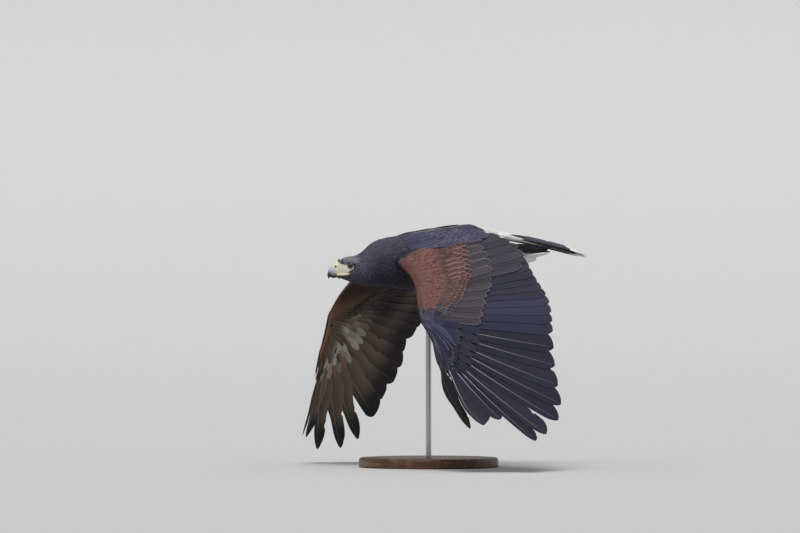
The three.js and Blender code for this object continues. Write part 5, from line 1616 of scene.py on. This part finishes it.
base_profile = [(0.5, 0), (90, 0), *rounded_corner(BASE_RADIUS, 0, 3, False),
                *rounded_corner(BASE_RADIUS, BASE_HEIGHT, 5, True),
                (110, BASE_HEIGHT), (60, BASE_HEIGHT), (0.5, BASE_HEIGHT)]
stand_disc = mesh_object("stand_walnut_disc", *turned(base_profile, 160))
rod_low, rod_high = (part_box("stand_rod")[k][2] / MM for k in (0, 1))
rod_profile = [(ROD_RADIUS - 0.6, rod_low), (ROD_RADIUS, rod_low + 0.6),
               *[(ROD_RADIUS, z) for z in np.linspace(rod_low + 1, rod_high - 1, 60)],
               (ROD_RADIUS, rod_high), (0.4, rod_high)]
stand_rod = mesh_object("stand_steel_rod", *turned(rod_profile, 64))

walnut = Paint("stand_walnut", roughness=0.38, Specular_IOR_Level=0.4)
spot = walnut.here()
drift = walnut.noise(spot, 6.0, 3.0)
grain_line = walnut.start.add("ShaderNodeMapping", {}, {"Vector": spot, "Scale": (1.5, 26.0, 26.0)})
rings = walnut.noise(grain_line, 3.0, 5.0, 0.6)
fibre_line = walnut.start.add("ShaderNodeMapping", {}, {"Vector": spot, "Scale": (30.0, 700.0, 700.0)})
fibre = walnut.noise(fibre_line, 1.0, 2.0)
band = (rings * 14.0 + drift * 6.0).call("SINE") * 0.5 + 0.5
wood = (band * 0.75 + fibre * 0.3 - 0.05).mixed(tone(0.060, 0.028, 0.014), tone(0.185, 0.095, 0.050))
walnut.colour((fibre.step(0.62, 0.75) * 0.6).mixed(wood, tone(0.03, 0.014, 0.008)))
walnut.rough(0.30 + fibre * 0.25)
walnut.bump(fibre + band * 0.3, 0.0002, 0.35)
stand_disc.data.materials.append(walnut.material)
steel = Paint("stand_steel", roughness=0.3, Metallic=1.0)
brushed = steel.start.add("ShaderNodeMapping", {}, {"Vector": steel.here(), "Scale": (60.0, 60.0, 2500.0)})
marks = steel.noise(brushed, 1.0, 2.0)
steel.colour(marks.mixed(tone(0.42, 0.43, 0.44), tone(0.60, 0.61, 0.62)))
steel.rough(0.22 + marks * 0.2)
steel.bump(marks, 0.00005, 0.4)
stand_rod.data.materials.append(steel.material)
for piece, slot, node in ((stand_disc, "stand_wood", "stand_base"), (stand_rod, "stand_steel", "stand_rod")):
    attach(piece, "root")
    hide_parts(node)

# Studio
# A wide pale floor that curves up all round, soft light from above and in front, and the photo's camera.
def plain(name, colour, roughness):
    made = bpy.data.materials.new(name)
    made.use_nodes = True
    shader = made.node_tree.nodes["Principled BSDF"]
    shader.inputs["Base Color"].default_value = (*colour, 1)
    shader.inputs["Roughness"].default_value = roughness
    return made


FLOOR_PROFILE = [(0, 0), (5, 0), (9, 0.004), (12.7, 0.05), (15.5, 0.3), (17.5, 1.0), (18.8, 2.3), (19.5, 4.5),
                 (19.7, 8)]
LAST = len(FLOOR_PROFILE) - 1
profile = through(list(range(LAST + 1)), FLOOR_PROFILE, np.linspace(1, LAST, 50))
turns = np.linspace(0, 2 * np.pi, 96, endpoint=False)
bowl = [(r * math.cos(a), r * math.sin(a), z) for r, z in profile for a in turns]
bowl_faces = [(k * 96 + i, (k + 1) * 96 + i, (k + 1) * 96 + (i + 1) % 96, k * 96 + (i + 1) % 96)
              for k in range(len(profile) - 1) for i in range(96)] + [tuple(range(96))]
floor_mesh = bpy.data.meshes.new("floor")
floor_mesh.from_pydata(bowl, [], bowl_faces)
floor_mesh.polygons.foreach_set("use_smooth", [True] * len(floor_mesh.polygons))
floor = bpy.data.objects.new("floor", floor_mesh)
bpy.context.scene.collection.objects.link(floor)
floor_mesh.materials.append(plain("pale_floor", (0.56, 0.56, 0.555), 0.9))


def sun(name, direction, strength, angle, colour):
    light = bpy.data.lights.new(name, "SUN")
    light.energy, light.angle, light.color = strength, math.radians(angle), colour
    made = bpy.data.objects.new(name, light)
    made.rotation_mode = "QUATERNION"
    made.rotation_quaternion = Vector(direction).to_track_quat("-Z", "Y")
    bpy.context.scene.collection.objects.link(made)


sun("key", (-0.40, 0.25, -1), 2.1, 30, (1.0, 0.985, 0.96))
sun("fill", (-0.9, 0.75, -0.35), 0.4, 60, (0.96, 0.98, 1.0))
world = bpy.data.worlds.new("studio")
world.use_nodes = True
world.node_tree.nodes["Background"].inputs["Color"].default_value = (0.93, 0.96, 1.0, 1)
world.node_tree.nodes["Background"].inputs["Strength"].default_value = 0.48
bpy.context.scene.world = world
bpy.context.scene.view_settings.view_transform = "Standard"

CAMERA_YAW = math.radians(30)
TOWARD = Vector((math.cos(CAMERA_YAW), -math.sin(CAMERA_YAW), 0))
ASIDE = Vector((math.sin(CAMERA_YAW), math.cos(CAMERA_YAW), 0))
aim = (Vector(SHOULDERS) + ASIDE * 4.6 - Vector((0, 0, 15.6))) * MM
lens = bpy.data.cameras.new("camera")
lens.sensor_width = 36
lens.lens = 295
camera = bpy.data.objects.new("camera", lens)
camera.location = aim + TOWARD * 12
camera.rotation_mode = "QUATERNION"
camera.rotation_quaternion = (-TOWARD).to_track_quat("-Z", "Y")
lens.clip_start, lens.clip_end = 0.1, 100
bpy.context.scene.collection.objects.link(camera)
bpy.context.scene.camera = camera
